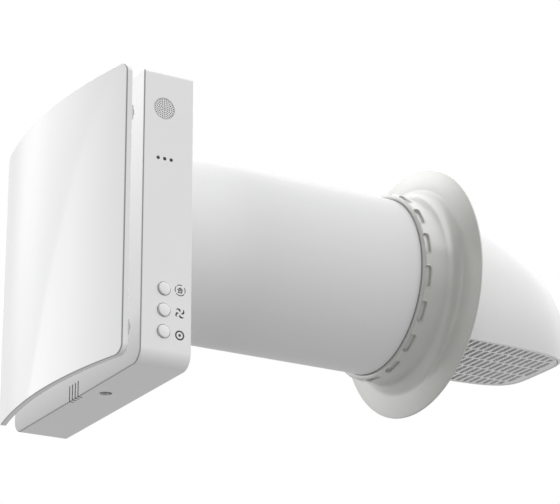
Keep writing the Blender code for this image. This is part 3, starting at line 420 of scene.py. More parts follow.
def make_materials():
    return {
        # The panel and the casing get painted shade along their front edges, and the panel also painted
        # shade on its rim.
        "gloss_white": panel_rim_shade(paint_edge_shade(panel_gloss("panel_gloss_white"), 0.60, PANEL_HIGH.y)),
        "case_white": paint_edge_shade(casing_white(), 0.60, CASE_LOW.y + CASE_EDGE),
        "button_grey": button_satin(),
        "dark_lens": dark_lens(),
        "duct_white": duct_white(),
        "collar_grey": rubber_grey(),
        "hood_white": hood_white(),
        "inner_plastic": moulded("inner_plastic", (0.70, 0.71, 0.72), 0.50, 1800.0, 0.00005, 0.05),
        "gear_plastic": moulded("natural_nylon", (0.86, 0.83, 0.74), 0.40, 1500.0, mottle=0.06),
        "black_plastic": moulded("black_plastic", (0.030, 0.030, 0.033), 0.48, 1700.0, 0.00006, 0.15),
        "board_green": circuit_board(),
        "ceramic": fired_ceramic(),
        "foam_grey": foam("filter_foam", (0.20, 0.21, 0.22), 700.0),
        "foam_white": foam("insulating_foam", (0.82, 0.82, 0.81), 420.0),
        "steel": brushed_steel(),
        "cord": braided_cord(),
    }


# Shapes. Each one fills a bmesh in the part's frame.

def place(axis, u, v, t):
    """The point at (u, v) across an axis and t along it."""
    return {"X": (t, u, v), "Y": (u, t, v), "Z": (u, v, t)}[axis]


def polar(centre, radius, angle):
    return centre[0] + radius * math.cos(angle), centre[1] + radius * math.sin(angle)


def quarter(steps, first=0):
    """The sine, and one less the cosine, at even steps through a right angle."""
    angles = [math.pi / 2 * i / steps for i in range(first, steps + 1)]
    return [(math.sin(a), 1 - math.cos(a)) for a in angles]


def stitch(bm, lower, upper):
    """Joins two closed rings of equal counts with faces. A corner that is met twice counts once."""
    for i in range(len(lower)):
        j = (i + 1) % len(lower)
        bm.faces.new(list(dict.fromkeys((lower[i], lower[j], upper[j], upper[i]))))


def loft(loops, bm=None):
    """Joins closed loops of points that have equal counts, and caps both ends."""
    bm = bm or bmesh.new()
    rings = [[bm.verts.new(p) for p in loop] for loop in loops]
    for lower, upper in zip(rings, rings[1:]):
        stitch(bm, lower, upper)
    bm.faces.new(rings[0][::-1])
    bm.faces.new(rings[-1])
    return bm


def prism(outline, axis, low, high, bm=None):
    return loft([[place(axis, u, v, t) for u, v in outline] for t in (low, high)], bm)


def box(low, high, bm=None):
    corners = [(low[0], low[1]), (high[0], low[1]), (high[0], high[1]), (low[0], high[1])]
    return prism(corners, "Z", low[2], high[2], bm)


def circle(radius, steps, centre=(0.0, 0.0)):
    return [polar(centre, radius, 2 * math.pi * i / steps) for i in range(steps)]


def disc(centre, radius, axis, low, high, steps=48, bm=None):
    return prism(circle(radius, steps, centre), axis, low, high, bm)


def rounded_rectangle(u0, u1, v0, v1, radius, arc_steps=12, upper=None):
    """Outline of a rectangle with round corners, anticlockwise; the upper two can have their own radius."""
    upper = radius if upper is None else upper
    corners = [(u1 - upper, v1 - upper, upper), (u0 + upper, v1 - upper, upper),
               (u0 + radius, v0 + radius, radius), (u1 - radius, v0 + radius, radius)]
    points = []
    for turn, (cu, cv, round_radius) in enumerate(corners):
        for i in range(arc_steps + 1):
            points.append(polar((cu, cv), round_radius, math.pi / 2 * (turn + i / arc_steps)))
    return points


def lathe(profile, axis, centre, steps, bm=None):
    """Turns a profile of (radius, along) points. Ends on the axis make a solid, any others a ring."""
    bm = bm or bmesh.new()
    rings = []
    for radius, along in profile:
        if radius == 0:
            rings.append([bm.verts.new(place(axis, *centre, along))] * steps)
        else:
            rings.append([bm.verts.new(place(axis, u, v, along)) for u, v in circle(radius, steps, centre)])
    pairs = list(zip(rings, rings[1:]))
    if profile[0][0] or profile[-1][0]:
        pairs.append((rings[-1], rings[0]))
    for lower, upper in pairs:
        stitch(bm, lower, upper)
    return bm


def eased_ring(inner, outer, low, high, ease):
    """Profile of a ring whose four edges are rounded."""
    corners = [(inner + ease, low + ease, 180), (outer - ease, low + ease, 270),
               (outer - ease, high - ease, 0), (inner + ease, high - ease, 90)]
    return [polar((cr, ct), ease, math.radians(start + 30 * i))
            for cr, ct, start in corners for i in range(4)]


def smooth_path(points, steps):
    """A Catmull-Rom curve through the points."""
    points = [Vector(p) for p in points]
    points = [2 * points[0] - points[1]] + points + [2 * points[-1] - points[-2]]
    curve = []
    for a, b, c, d in zip(points, points[1:], points[2:], points[3:]):
        for i in range(steps):
            t = i / steps
            curve.append(0.5 * (2 * b + (c - a) * t + (2 * a - 5 * b + 4 * c - d) * t * t
                                + (3 * b - a - 3 * c + d) * t ** 3))
    curve.append(points[-2])
    return curve


def tube(path, radius, sides=20, bm=None):
    """A round tube along a path."""
    loops = []
    across = Vector((0, 0, 1)).cross(path[1] - path[0])
    if across.length < 1e-9:
        across = Vector((1, 0, 0))
    for i, point in enumerate(path):
        ahead = (path[min(i + 1, len(path) - 1)] - path[max(i - 1, 0)]).normalized()
        across = (across - across.dot(ahead) * ahead).normalized()
        other = ahead.cross(across)
        loops.append([point + radius * (math.cos(2 * math.pi * k / sides) * across
                                        + math.sin(2 * math.pi * k / sides) * other)
                      for k in range(sides)])
    return loft(loops, bm)


# Pieces

def new_object(name, bm):
    bmesh.ops.recalc_face_normals(bm, faces=bm.faces)
    mesh = bpy.data.meshes.new(name)
    bm.to_mesh(mesh)
    bm.free()
    obj = bpy.data.objects.new(name, mesh)
    bpy.context.scene.collection.objects.link(obj)
    return obj


def carve(obj, bm, operation="DIFFERENCE"):
    """Cuts a solid from obj, or joins it, and keeps only the resulting mesh."""
    tool = new_object("tool", bm)
    step = obj.modifiers.new("carve", "BOOLEAN")
    step.operation = operation
    step.solver = "EXACT"
    step.object = tool
    result = bpy.data.meshes.new_from_object(obj.evaluated_get(bpy.context.evaluated_depsgraph_get()))
    obj.modifiers.clear()
    obj.data = result
    bpy.data.objects.remove(tool, do_unlink=True)
    return obj


def weigh_normals(obj):
    obj.modifiers.new("weighted_normals", "WEIGHTED_NORMAL").keep_sharp = True
    return obj


def shade(obj, sharp=32.0):
    """Smooth shading that leaves sharp edges and flat faces crisp."""
    obj.data.shade_smooth()
    obj.data.set_sharp_from_angle(angle=math.radians(sharp))
    return weigh_normals(obj)


def ease_edges(obj, width):
    """Rounds an object's sharp edges with a modifier."""
    obj.data.shade_smooth()
    step = obj.modifiers.new("eased_edges", "BEVEL")
    step.width = width
    step.segments = 2
    step.limit_method = "ANGLE"
    step.angle_limit = math.radians(40)
    return weigh_normals(obj)


def dress(obj, slot, *nodes, body="root"):
    """Gives a piece its finish, the body it rides on and the CAD nodes it stands for."""
    obj.data.materials.clear()
    obj.data.materials.append(finishes[slot])
    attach(obj, body)
    if nodes:
        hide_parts(*nodes)


def box_of(name, axis):
    """The corners of a CAD node's box, and the box's middle across an axis."""
    low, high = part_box(name)
    middle = [(a + b) / 2 for a, b in zip(low, high)]
    del middle["XYZ".index(axis)]
    return low, high, middle


# Indoor unit

def casing_loop(inset, y):
    outline = rounded_rectangle(CASE_LOW.x + inset, CASE_HIGH.x - inset, CASE_LOW.z + inset,
                                CASE_HIGH.z - inset, CASE_CORNER - inset, 16, CASE_TOP_CORNER - inset)
    return [(x, y, z) for x, z in outline]


def make_casing():
    loops = [casing_loop(CASE_EDGE * (1 - out), CASE_LOW.y + CASE_EDGE * back) for out, back in quarter(5)]
    loops += [casing_loop(0, CASE_HIGH.y - REAR_EDGE), casing_loop(REAR_EDGE, CASE_HIGH.y)]
    casing = new_object("casing_moulding", loft(loops))
    carve(casing, loft([casing_loop(WALL, CASE_LOW.y + WALL), casing_loop(WALL, CASE_HIGH.y + 0.01)]))
    sockets, holes = bmesh.new(), bmesh.new()
    front, before, socket, hole = CASE_LOW.y, -0.0500, 0.0056, 0.0033
    for name in ("lower_left", "lower_right", "upper_left", "upper_right"):
        centre = box_of("panel_stud_" + name, "Y")[2]
        disc(centre, socket, "Y", front + 0.001, -0.0340, 40, sockets)
        lathe([(0, before), (0.0047, before), (0.0045, front - 0.0001), (0.0038, front + 0.0004),
               (hole, front + 0.0010), (hole, -0.0300), (0, -0.0300)], "Y", centre, 32, holes)
    lathe([(0, before), (AIR_RADIUS + 0.0050, before), (AIR_RADIUS + 0.0012, front - 0.00005),
           (AIR_RADIUS + 0.0004, front + 0.0003), (AIR_RADIUS, front + 0.0010),
           (AIR_RADIUS, -0.0400), (0, -0.0400)], "Y", AXIS, 128, holes)
    carve(casing, sockets, "UNION")
    for tool in (holes, side_openings(), front_slots()):
        carve(casing, tool)
    make_fixing_well(casing)
    make_slot_shade_strip()
    dress(shade(casing), "case_white", "casing")


def flared(centre, radius, flare, steps, bm):
    """A round hole in the right-hand side whose mouth is eased by a flare."""
    face, depth, clear = CASE_HIGH.x, 0.0040, 0.0005
    rows = [(0, face - depth), (radius, face - depth)]
    rows += [(radius + flare * back, face - flare * (1 - out)) for out, back in quarter(4)]
    rows += [(radius + flare + 0.0003, face + clear), (0, face + clear)]
    lathe(rows, "X", centre, steps, bm)


def side_openings():
    bm = bmesh.new()
    for name in BUTTONS:
        flared(box_of(name, "X")[2], BUTTON_RADIUS + 0.0005, 0.0003, 56, bm)
    y, z = box_of("light_guide", "X")[2]
    for i in (-1, 0, 1):
        flared((y + i * LIGHT_PITCH, z), LIGHT_RADIUS + 0.0001, 0.0002, 28, bm)
    flared(box_of("sounder", "X")[2], SOUNDER_RADIUS + 0.0001, 0.0001, 72, bm)
    return bm


def front_slots():
    """Four slots that run down the front face and round on to the underside."""
    bm = bmesh.new()
    before, below = CASE_LOW.y - 0.001, CASE_LOW.z - 0.001
    behind, top = CASE_LOW.y + SLOT_DEPTH, CASE_LOW.z + SLOT_HEIGHT
    for x in SLOT_CENTRES:
        side = [(before, below), (behind, below), (behind, top), (before, top)]
        prism(side, "X", x - SLOT_WIDTH / 2, x + SLOT_WIDTH / 2, bm)
    return bm


def make_slot_shade_strip():
    """A dark strip a little way into the slots, put there as painted shade inside them."""
    bm = bmesh.new()
    deep, reach = 0.0004, SLOT_WIDTH / 2 + 0.0001
    for x in SLOT_CENTRES:
        box((x - reach, CASE_LOW.y + deep, CASE_LOW.z + deep),
            (x + reach, CASE_LOW.y + SLOT_DEPTH, CASE_LOW.z + SLOT_HEIGHT + 0.0001), bm)
    # Black plastic standing in for the shade inside the slots.
    dress(new_object("slot_shade_strip", bm), "black_plastic")


def make_fixing_well(casing):
    """The round well in the underside that the screw sits in."""
    low, _, centre = box_of("casing_screw", "Z")
    top = low.z + SCREW_HEAD + GAP
    carve(casing, disc(centre, 0.0070, "Z", CASE_LOW.z + 0.001, top + 0.0020, 48), "UNION")
    carve(casing, lathe([(0, CASE_LOW.z - 0.001), (0.0061, CASE_LOW.z - 0.001), (0.0056, CASE_LOW.z),
                         (0.0053, CASE_LOW.z + 0.0002), (0.0052, CASE_LOW.z + 0.0006), (0.0052, top),
                         (0, top)],
                        "Z", centre, 48))
    carve(casing, disc(centre, 0.0023, "Z", CASE_LOW.z, top + 0.003, 32))


def panel_front_y(x):
    """Depth of the panel's front face at x: a shallow arch across the width."""
    half = PANEL_HIGH.x
    bulge = PANEL_HIGH.y - PANEL_LOW.y - PANEL_THICKNESS
    return PANEL_LOW.y + bulge * (x / half) ** 2


def panel_loop(inset, depth):
    """A closed loop round the panel, set in from its outline and back from its front face."""
    half = PANEL_HIGH.x - inset
    tall = (PANEL_HIGH.z - PANEL_LOW.z) / 2 - inset
    corner = PANEL_CORNER - inset
    flat = half - corner
    across = 72
    columns = [(flat + corner * out, tall - corner * back) for out, back in quarter(10)]
    middle = [(-flat + 2 * flat * i / across, tall) for i in range(1, across)]
    columns = [(-x, h) for x, h in columns[::-1]] + middle + columns
    z = (PANEL_HIGH.z + PANEL_LOW.z) / 2
    upper = [(x, panel_front_y(x) + depth, z + h) for x, h in columns]
    lower = [(x, panel_front_y(x) + depth, z - h) for x, h in columns[::-1]]
    return upper + lower


def make_panel():
    """The curved front panel: a sheet with rounded edges, its faces built as upright strips."""
    rows = [(PANEL_EDGE * (1 - out), PANEL_EDGE * back) for out, back in quarter(5)]
    rows += [(inset, PANEL_THICKNESS - depth) for inset, depth in rows[::-1]]
    bm = bmesh.new()
    rings = [[bm.verts.new(p) for p in panel_loop(inset, depth)] for inset, depth in rows]
    for lower, upper in zip(rings, rings[1:]):
        stitch(bm, lower, upper)
    for ring in (rings[0], rings[-1]):
        last = len(ring) - 1
        for i in range(len(ring) // 2 - 1):
            bm.faces.new((ring[i], ring[i + 1], ring[last - i - 1], ring[last - i]))
    panel = shade(new_object("curved_panel", bm), 60.0)
    dress(panel, "gloss_white", "front_panel", body="panel")
    panel.visible_diffuse = panel.visible_glossy = panel.visible_shadow = False


def make_button(name):
    """A domed cap with a rounded rim, its skirt, its flange behind the wall and its stem."""
    low, _, centre = box_of(name, "X")
    face, radius, crown, rim = CASE_HIGH.x, BUTTON_RADIUS, 0.0018, 0.0012
    edge, rows = crown - 0.0004, 8
    profile = [(0, face + crown)]
    for i in range(1, rows + 1):
        share = i / rows
        profile.append(((radius - rim) * share, face + edge + (crown - edge) * (1 - share * share)))
    profile += [(radius - rim + rim * out, face + edge - rim * back) for out, back in quarter(6, 1)]
    skirt, flange, stem = radius + 0.0004, radius + 0.0014, 0.0020
    profile += [(radius, face - 0.0001), (skirt, face - 0.0007), (skirt, face - 0.0032),
                (flange, face - 0.0032), (flange, face - 0.0044), (stem, face - 0.0044), (stem, low.x),
                (0, low.x)]
    cap = shade(new_object(name + "_cap", lathe(profile, "X", centre, 64)))
    dress(cap, "button_grey", name, body=name)


def print_on_side(name, bm):
    """A thin film of ink on the casing's right-hand side."""
    obj = new_object(name, bm)
    shade(obj)
    obj.data.materials.append(ink)
    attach(obj, "root")


def film(outline, bm):
    face, thickness = CASE_HIGH.x, 0.0001
    prism(outline, "X", face - thickness / 2, face + thickness / 2, bm)


def arc_band(centre, inner, outer, start, end, bm, steps=24):
    """Part of a flat ring, between two angles in degrees."""
    outline = []
    for radius, first, last in ((outer, start, end), (inner, end, start)):
        for i in range(steps + 1):
            outline.append(polar(centre, radius, math.radians(first + (last - first) * i / steps)))
    film(outline, bm)


def print_house(y, z):
    """A house in a broken ring."""
    bm = bmesh.new()
    for start, end in ((70, 128), (142, 205), (218, 322), (335, 397)):
        arc_band((y, z), 0.0041, 0.0048, start, end, bm)
    wall, line, eaves, ridge, ground = 0.0019, 0.0008, 0.0004, 0.0026, -0.0024
    roof = [(-0.0027, eaves - 0.0001), (0, ridge), (0.0027, eaves - 0.0001), (0.0021, eaves - 0.0005),
            (0, ridge - 0.0013), (-0.0021, eaves - 0.0005)]
    film([(y + u, z + v) for u, v in roof], bm)
    inner = wall - line - 0.00002
    for u0, u1, v1 in ((-wall, line - wall, eaves - 0.0004), (wall - line, wall, eaves - 0.0004),
                       (-inner, inner, ground + line)):
        film([(y + u, z + v) for u, v in ((u0, ground), (u1, ground), (u1, v1), (u0, v1))], bm)
    arc_band((y, z), 0.0003, 0.0009, 0, 359, bm)
    print_on_side("print_ventilation", bm)


def print_fan(y, z):
    """Four curved blades: each outline runs out along its leading edge and back along its trailing one."""
    bm = bmesh.new()
    hub, span, rows = 0.0011, 0.0035, 8
    trail = [5 + 34 * math.sin(math.pi * (i + 1) / 11) for i in range(rows + 1)]
    edges = [(i, 0) for i in range(rows + 1)] + [(i, trail[i]) for i in range(rows, -1, -1)]
    for turn in range(0, 360, 90):
        film([polar((y, z), hub + span * i / rows, math.radians(turn + 8 + 46 * (i / rows) ** 1.3 - lag))
              for i, lag in edges], bm)
    print_on_side("print_fan", bm)


def print_ring(y, z):
    """A dot in a ring."""
    bm = bmesh.new()
    arc_band((y, z), 0.0028, 0.0041, 0, 359.5, bm, 60)
    film(circle(0.0012, 32, (y, z)), bm)
    print_on_side("print_ring", bm)


def make_lights():
    """The light guide: a bar on the board whose three domed pins come flush with the casing."""
    low, high, (middle_y, middle_z) = box_of("light_guide", "X")
    bar = prism(rounded_rectangle(low.y, high.y, low.z, high.z, 0.0008, 6), "X", low.x, low.x + 0.002)
    guide = new_object("light_pins", bar)
    pins, root, tip = bmesh.new(), low.x + 0.001, high.x
    for i in (-1, 0, 1):
        lathe([(0, root), (LIGHT_RADIUS, root), (LIGHT_RADIUS, tip - 0.0004), (0.0012, tip - 0.00015),
               (0.0008, tip), (0, tip + 0.0001)], "X", (middle_y + i * LIGHT_PITCH, middle_z), 28, pins)
    dress(shade(carve(guide, pins, "UNION")), "dark_lens", "light_guide")


def make_sounder_grille():
    """A round insert pierced by rings of fine holes."""
    low, high, centre = box_of("sounder_grille", "X")
    face, flange, radius = CASE_HIGH.x, (high.y - low.y) / 2, SOUNDER_RADIUS
    profile = [(0, low.x), (flange, low.x), (flange, face - WALL - GAP), (radius, face - WALL - GAP),
               (radius, face - 0.0005), (radius - 0.00025, face - 0.0002), (0, face - 0.0002)]
    grille = new_object("sounder_rings", lathe(profile, "X", centre, 72))
    rings, pitch, hole, beyond = 5, 0.00165, 0.00055, 0.001
    spots = [centre]
    for ring in range(1, rings + 1):
        count = 6 * ring
        for i in range(count):
            spots.append(polar(centre, ring * pitch, 2 * math.pi * (i + 0.5 * (ring % 2)) / count))
    holes = bmesh.new()
    for spot in spots:
        disc(spot, hole, "X", low.x - beyond, face + beyond, 10, holes)
    dress(shade(carve(grille, holes)), "case_white", "sounder_grille")


def make_screw():
    """The pan-head screw with a cross recess, seen from below in its well."""
    low, high, centre = box_of("casing_screw", "Z")
    seat, top, radius, shank, root = low.z + SCREW_HEAD, high.z, 0.0038, 0.0017, 0.0013
    profile = [(0, low.z)]
    profile += [(radius * out, seat - SCREW_HEAD * (1 - 0.75 * back)) for out, back in quarter(7, 1)[:-1]]
    profile += [(radius, seat - 0.0005), (radius, seat), (shank, seat)]
    turns, pitch = 10, 0.0010
    for i in range(turns):
        base = seat + 0.0004 + i * pitch
        if base + pitch < top - 0.0020:
            profile += [(root, base), (shank, base + pitch * 0.45), (root, base + pitch * 0.9)]
    profile += [(root, top - 0.0018), (0, top)]
    screw = new_object("pan_head_screw", lathe(profile, "Z", centre, 40))
    arm, slit, deep = 0.0021, 0.0005, 0.0011
    cross = []
    for u, v in ((1, 0), (0, 1), (-1, 0), (0, -1)):
        for along, across in ((slit, slit), (arm, slit), (arm, -slit)):
            cross.append((centre[0] + u * along + v * across, centre[1] + v * along - u * across))
    carve(screw, prism(cross, "Z", low.z - 0.001, low.z + deep))
    dress(shade(screw), "steel", "casing_screw")


# Duct and outdoor side

def make_duct():
    profile = eased_ring(DUCT_RADIUS - WALL, DUCT_RADIUS, DUCT_LOW.y, DUCT_HIGH.y, 0.0004)
    dress(shade(new_object("duct_tube", lathe(profile, "Y", AXIS, 192))), "duct_white", "wall_duct")


def collar_profile():
    """(radius, y) points of the soft collar: hub, fillet, dished brim, thin lip and back."""
    start, rim_y, rim = COLLAR_LOW.y, COLLAR_HIGH.y - 0.0012, COLLAR_HIGH.x
    outer = [(0.0806, start), (0.0822, start + 0.00005), (0.0834, start + 0.0004), (0.0843, start + 0.0011),
             (0.0848, start + 0.0020)]
    for i in range(1, 30):
        share = i / 29
        outer.append((0.0849 + 0.0010 * share, start + 0.0020 + 0.0205 * share))
    for i in range(1, 17):
        a = math.radians(84 * i / 16)
        outer.append((0.0979 - 0.0120 * math.cos(a), start + 0.0225 + 0.0120 * math.sin(a)))
    hold = outer[-1]
    for i in range(1, 12):
        share = i / 11
        outer.append((hold[0] + (rim - 0.0008 - hold[0]) * share,
                      hold[1] + (rim_y - 0.0011 - hold[1]) * (0.75 * share + 0.25 * share * share)))
    lip = [(rim - 0.0008 + 0.0008 * math.sin(a), rim_y - 0.0011 * math.cos(a))
           for a in (math.pi * i / 8 for i in range(1, 8))]
    back = [(rim - 0.0010, rim_y + 0.0011), (0.1030, rim_y - 0.0002), (0.0950, 0.2868), (0.0905, 0.2856),
            (0.0870, 0.2840), (0.0850, 0.2815), (0.0834, 0.2700), (0.0830, 0.2600), (0.0824, 0.2575),
            (0.0800, 0.2565), (0.0798, 0.2560), (0.0798, start + 0.0004)]
    return outer + lip + back


def pocket(across, along):
    """Height of the hub's surface near a slot, in metres: a sunk pocket inside a raised border."""
    half_length, half_width, corner = COLLAR_SLOT_LENGTH / 2, COLLAR_SLOT_WIDTH / 2, 0.0019
    qx, qy = abs(across) - half_length + corner, abs(along) - half_width + corner
    distance = math.hypot(max(qx, 0), max(qy, 0)) + min(max(qx, qy), 0) - corner
    sunk, border = 0.0020, 0.00045
    inside = min(max(-distance / 0.0004, 0.0), 1.0)
    raised = math.exp(-((distance - 0.0005) / 0.0004) ** 2)
    return border * raised - sunk * inside * inside * (3 - 2 * inside)


def make_collar():
    """The soft wall collar, its hub ringed by bordered slots."""
    steps = COLLAR_SLOTS * 48
    profile = collar_profile()
    hub, slot_low, slot_high = 0.0843, COLLAR_SLOT_Y - 0.0038, COLLAR_SLOT_Y + 0.0040
    dense = []
    for first, second in zip(profile, profile[1:]):
        dense.append(first)
        if first[0] > hub and slot_low - 0.001 < first[1] < slot_high and second[1] > first[1]:
            for i in range(1, 4):
                dense.append(tuple(a + (b - a) * (i / 4) for a, b in zip(first, second)))
    dense.append(profile[-1])
    bm = lathe(dense, "Y", AXIS, steps)
    pitch = 2 * math.pi / COLLAR_SLOTS
    for vert in bm.verts:
        radius = math.hypot(vert.co.x, vert.co.z - AXIS_Z)
        if radius > hub and slot_low < vert.co.y < slot_high:
            angle = math.atan2(vert.co.z - AXIS_Z, vert.co.x) % pitch - pitch / 2
            scale = 1 + pocket(angle * radius, vert.co.y - COLLAR_SLOT_Y) / radius
            vert.co.x *= scale
            vert.co.z = AXIS_Z + (vert.co.z - AXIS_Z) * scale
    dress(shade(new_object("wall_collar", bm), 50.0), "collar_grey", "outdoor_collar")


def square_arc(half, reach, steps):
    """The squarish arc of the hood's plan outline, from left to right, between its two shoulders."""
    points = []
    for i in range(1, steps):
        a = math.pi * i / steps
        across = -math.copysign(abs(math.cos(a)) ** (2 / HOOD_SQUARENESS), math.cos(a))
        points.append((half * across, HOOD_SHOULDER + reach * math.sin(a) ** (2 / HOOD_SQUARENESS)))
    return points


def hood_solid(radius, start, step, front, base, levels=40, arc=64):
    """A closed solid of the hood's form: a cylinder whose front is rounded down to a flat underside."""
    bm = bmesh.new()

    def row(z, outline):
        return [bm.verts.new((x, y, AXIS_Z + z)) for x, y in outline]

    def half_at(z):
        return math.sqrt(max(radius * radius - z * z, 0))

    def back_corners(z):
        half = half_at(z)
        return [(half, step), (half, start), (-half, start), (-half, step)]

    def front_outline(z):
        half = half_at(z)
        rise = (z + HOOD_CHORD) / (radius + HOOD_CHORD)
        reach = (front - HOOD_SHOULDER) * (1 - rise * rise)
        return [(-half, HOOD_SHOULDER)] + square_arc(half, reach, arc) + [(half, HOOD_SHOULDER)]

    ridge = row(-radius, [(0, step), (0, start)])
    below = []
    first = math.acos(base / radius)
    lower_levels = 14
    for i in range(1, lower_levels + 1):
        z = -radius * math.cos(first * i / lower_levels)
        below.append(row(z, back_corners(z)))
    bottom = below[0]
    bm.faces.new((ridge[0], ridge[1], bottom[1], bottom[0]))
    bm.faces.new((ridge[1], ridge[0], bottom[3], bottom[2]))
    bm.faces.new((ridge[1], bottom[2], bottom[1]))
    bm.faces.new((ridge[0], bottom[0], bottom[3]))
    for lower, upper in zip(below, below[1:]):
        stitch(bm, lower, upper)
    seat = below[-1]
    front_arc = row(-base, front_outline(-base))
    current = seat + front_arc
    bm.faces.new([seat[3]] + front_arc + [seat[0]])
    low = math.asin(-base / radius)
    for i in range(1, levels):
        z = radius * math.sin(low + (math.pi / 2 - low) * i / levels)
        following = row(z, back_corners(z) + front_outline(z))
        stitch(bm, current, following)
        current = following
    shoulder, ledge, rear = row(radius, [(0, HOOD_SHOULDER), (0, step), (0, start)])
    right_ledge, right_rear, left_rear, left_ledge = current[:4]
    last_arc = current[4:]
    bm.faces.new((left_rear, right_rear, rear))
    bm.faces.new((right_rear, right_ledge, ledge, rear))
    bm.faces.new((left_ledge, left_rear, rear, ledge))
    bm.faces.new((last_arc[0], left_ledge, ledge, shoulder))
    bm.faces.new((right_ledge, last_arc[-1], shoulder, ledge))
    for a, b in zip(last_arc, last_arc[1:]):
        bm.faces.new((a, b, shoulder))
    return bm


def make_hood():
    start, front, step = HOOD_LOW.y, HOOD_HIGH.y, GRILLE_LOW.y - GAP
    hood = new_object("rain_hood", hood_solid(HOOD_RADIUS, start, step, front, HOOD_CHORD))
    carve(hood, hood_solid(HOOD_RADIUS - HOOD_WALL, start - 0.001, step - HOOD_WALL, front - HOOD_WALL,
                           HOOD_CHORD + 0.001))
    dress(shade(hood, 28.0), "hood_white", "hood_shell")
    low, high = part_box("hood_spigot")
    profile = eased_ring(0.0742, high.x, low.y, high.y, 0.0004)
    dress(shade(new_object("spigot_tube", lathe(profile, "Y", AXIS, 128))), "hood_white", "hood_spigot")


def underside_size(inset):
    half = math.sqrt((HOOD_RADIUS - HOOD_WALL) ** 2 - HOOD_CHORD ** 2) - inset
    return half, GRILLE_HIGH.y + GAP - inset - HOOD_SHOULDER


def underside_half_width(y, inset):
    half, reach = underside_size(inset)
    share = min(max((y - HOOD_SHOULDER) / reach, 0.0), 1.0)
    return half * (1 - share ** HOOD_SQUARENESS) ** (1 / HOOD_SQUARENESS)


def make_grille():
    """The hood's slotted underside, its slots staggered from row to row, and the insect mesh above."""
    low, high, back = GRILLE_LOW.z, GRILLE_HIGH.z, GRILLE_LOW.y
    half, reach = underside_size(GAP)
    outline = [(half, HOOD_SHOULDER), (half, back), (-half, back), (-half, HOOD_SHOULDER)]
    plate = new_object("slotted_underside", prism(outline + square_arc(half, reach, 64), "Z", low, high))
    slots = bmesh.new()
    count = int((HOOD_HIGH.y - back) / GRILLE_SLOT_PITCH)
    for row in range(GRILLE_ROWS):
        x = (row - (GRILLE_ROWS - 1) / 2) * GRILLE_ROW_PITCH
        stagger = GRILLE_SLOT_PITCH / 2 * (row % 2)
        for i in range(count):
            y = back + 0.0055 + stagger + i * GRILLE_SLOT_PITCH
            room = underside_half_width(y + GRILLE_SLOT_WIDTH / 2, GRILLE_RIM)
            left, right = max(x - GRILLE_SLOT_LENGTH / 2, -room), min(x + GRILLE_SLOT_LENGTH / 2, room)
            if right - left > GRILLE_SLOT_LENGTH / 4:
                prism(rounded_rectangle(left, right, y - GRILLE_SLOT_WIDTH / 2, y + GRILLE_SLOT_WIDTH / 2,
                                        0.0007, 3), "Z", low - 0.001, high + 0.001, slots)
    dress(shade(carve(plate, slots)), "hood_white", "hood_grille")
    make_insect_mesh()


def make_insect_mesh():
    """Fine wires that weave over and under each other, inside a thin frame."""
    low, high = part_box("insect_mesh")
    middle = (low.z + high.z) / 2
    pitch, radius = 0.0030, 0.00055
    bm = bmesh.new()
    rim = prism(rounded_rectangle(low.x, high.x, low.y, high.y, 0.004, 8), "Z", low.z, high.z)
    screen = new_object("insect_screen", rim)
    border = 0.0030
    carve(screen, prism(rounded_rectangle(low.x + border, high.x - border, low.y + border, high.y - border,
                                          0.003, 8), "Z", low.z - 0.001, high.z + 0.001))
    for across, along in ((0, 1), (1, 0)):
        first, last = (low[across] + border / 2, high[across] - border / 2)
        begin, end = (low[along] + border / 2, high[along] - border / 2)
        wires = int((last - first) / pitch)
        links = int((end - begin) / pitch)
        for w in range(wires):
            at = first + (w + 1) * (last - first) / (wires + 1)
            path = []
            for i in range(2 * links + 1):
                along_at = begin + (end - begin) * i / (2 * links)
                lift = radius * 0.9 * math.sin(math.pi / 2 * (i + 2 * w)) * (1 if across else -1)
                point = [0.0, 0.0, middle + lift]
                point[across], point[along] = at, along_at
                path.append(Vector(point))
            tube(path, radius, 5, bm)
    dress(shade(screen), "black_plastic", "insect_mesh")
    dress(shade(new_object("insect_wires", bm), 80.0), "black_plastic")


# Inside

def make_mounting_plate():
    low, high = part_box("mounting_plate")
    outline = rounded_rectangle(low.x, high.x, low.z, high.z, 0.008, 8)
    plate = new_object("wall_plate", prism(outline, "Y", -0.002, 0))
    centre = box_of("casing_screw", "Z")[2]
    tab, half, thick = CASE_LOW.z + 0.0036 + SCREW_HEAD + GAP, 0.009, 0.0025
    carve(plate, box((centre[0] - half, low.y, tab), (centre[0] + half, -0.001, tab + thick)), "UNION")
    holes = bmesh.new()
    disc(AXIS, DUCT_RADIUS + 0.0006, "Y", -0.01, 0.01, 128, holes)
    for x in (-0.100, 0.100):
        for z in (-0.014, CASE_HIGH.z - 0.016):
            lathe([(0, -0.01), (0.0042, -0.01), (0.0038, -0.0020), (0.0026, -0.0008), (0.0026, 0.01),
                   (0, 0.01)], "Y", (x, z), 32, holes)
    prism(rounded_rectangle(-0.100, -0.076, -0.004, 0.014, 0.004, 6), "Y", -0.01, 0.01, holes)
    carve(plate, holes)
    carve(plate, disc(centre, 0.0021, "Z", tab - 0.001, tab + 0.004, 32))
    dress(ease_edges(plate, 0.0003), "steel", "mounting_plate")


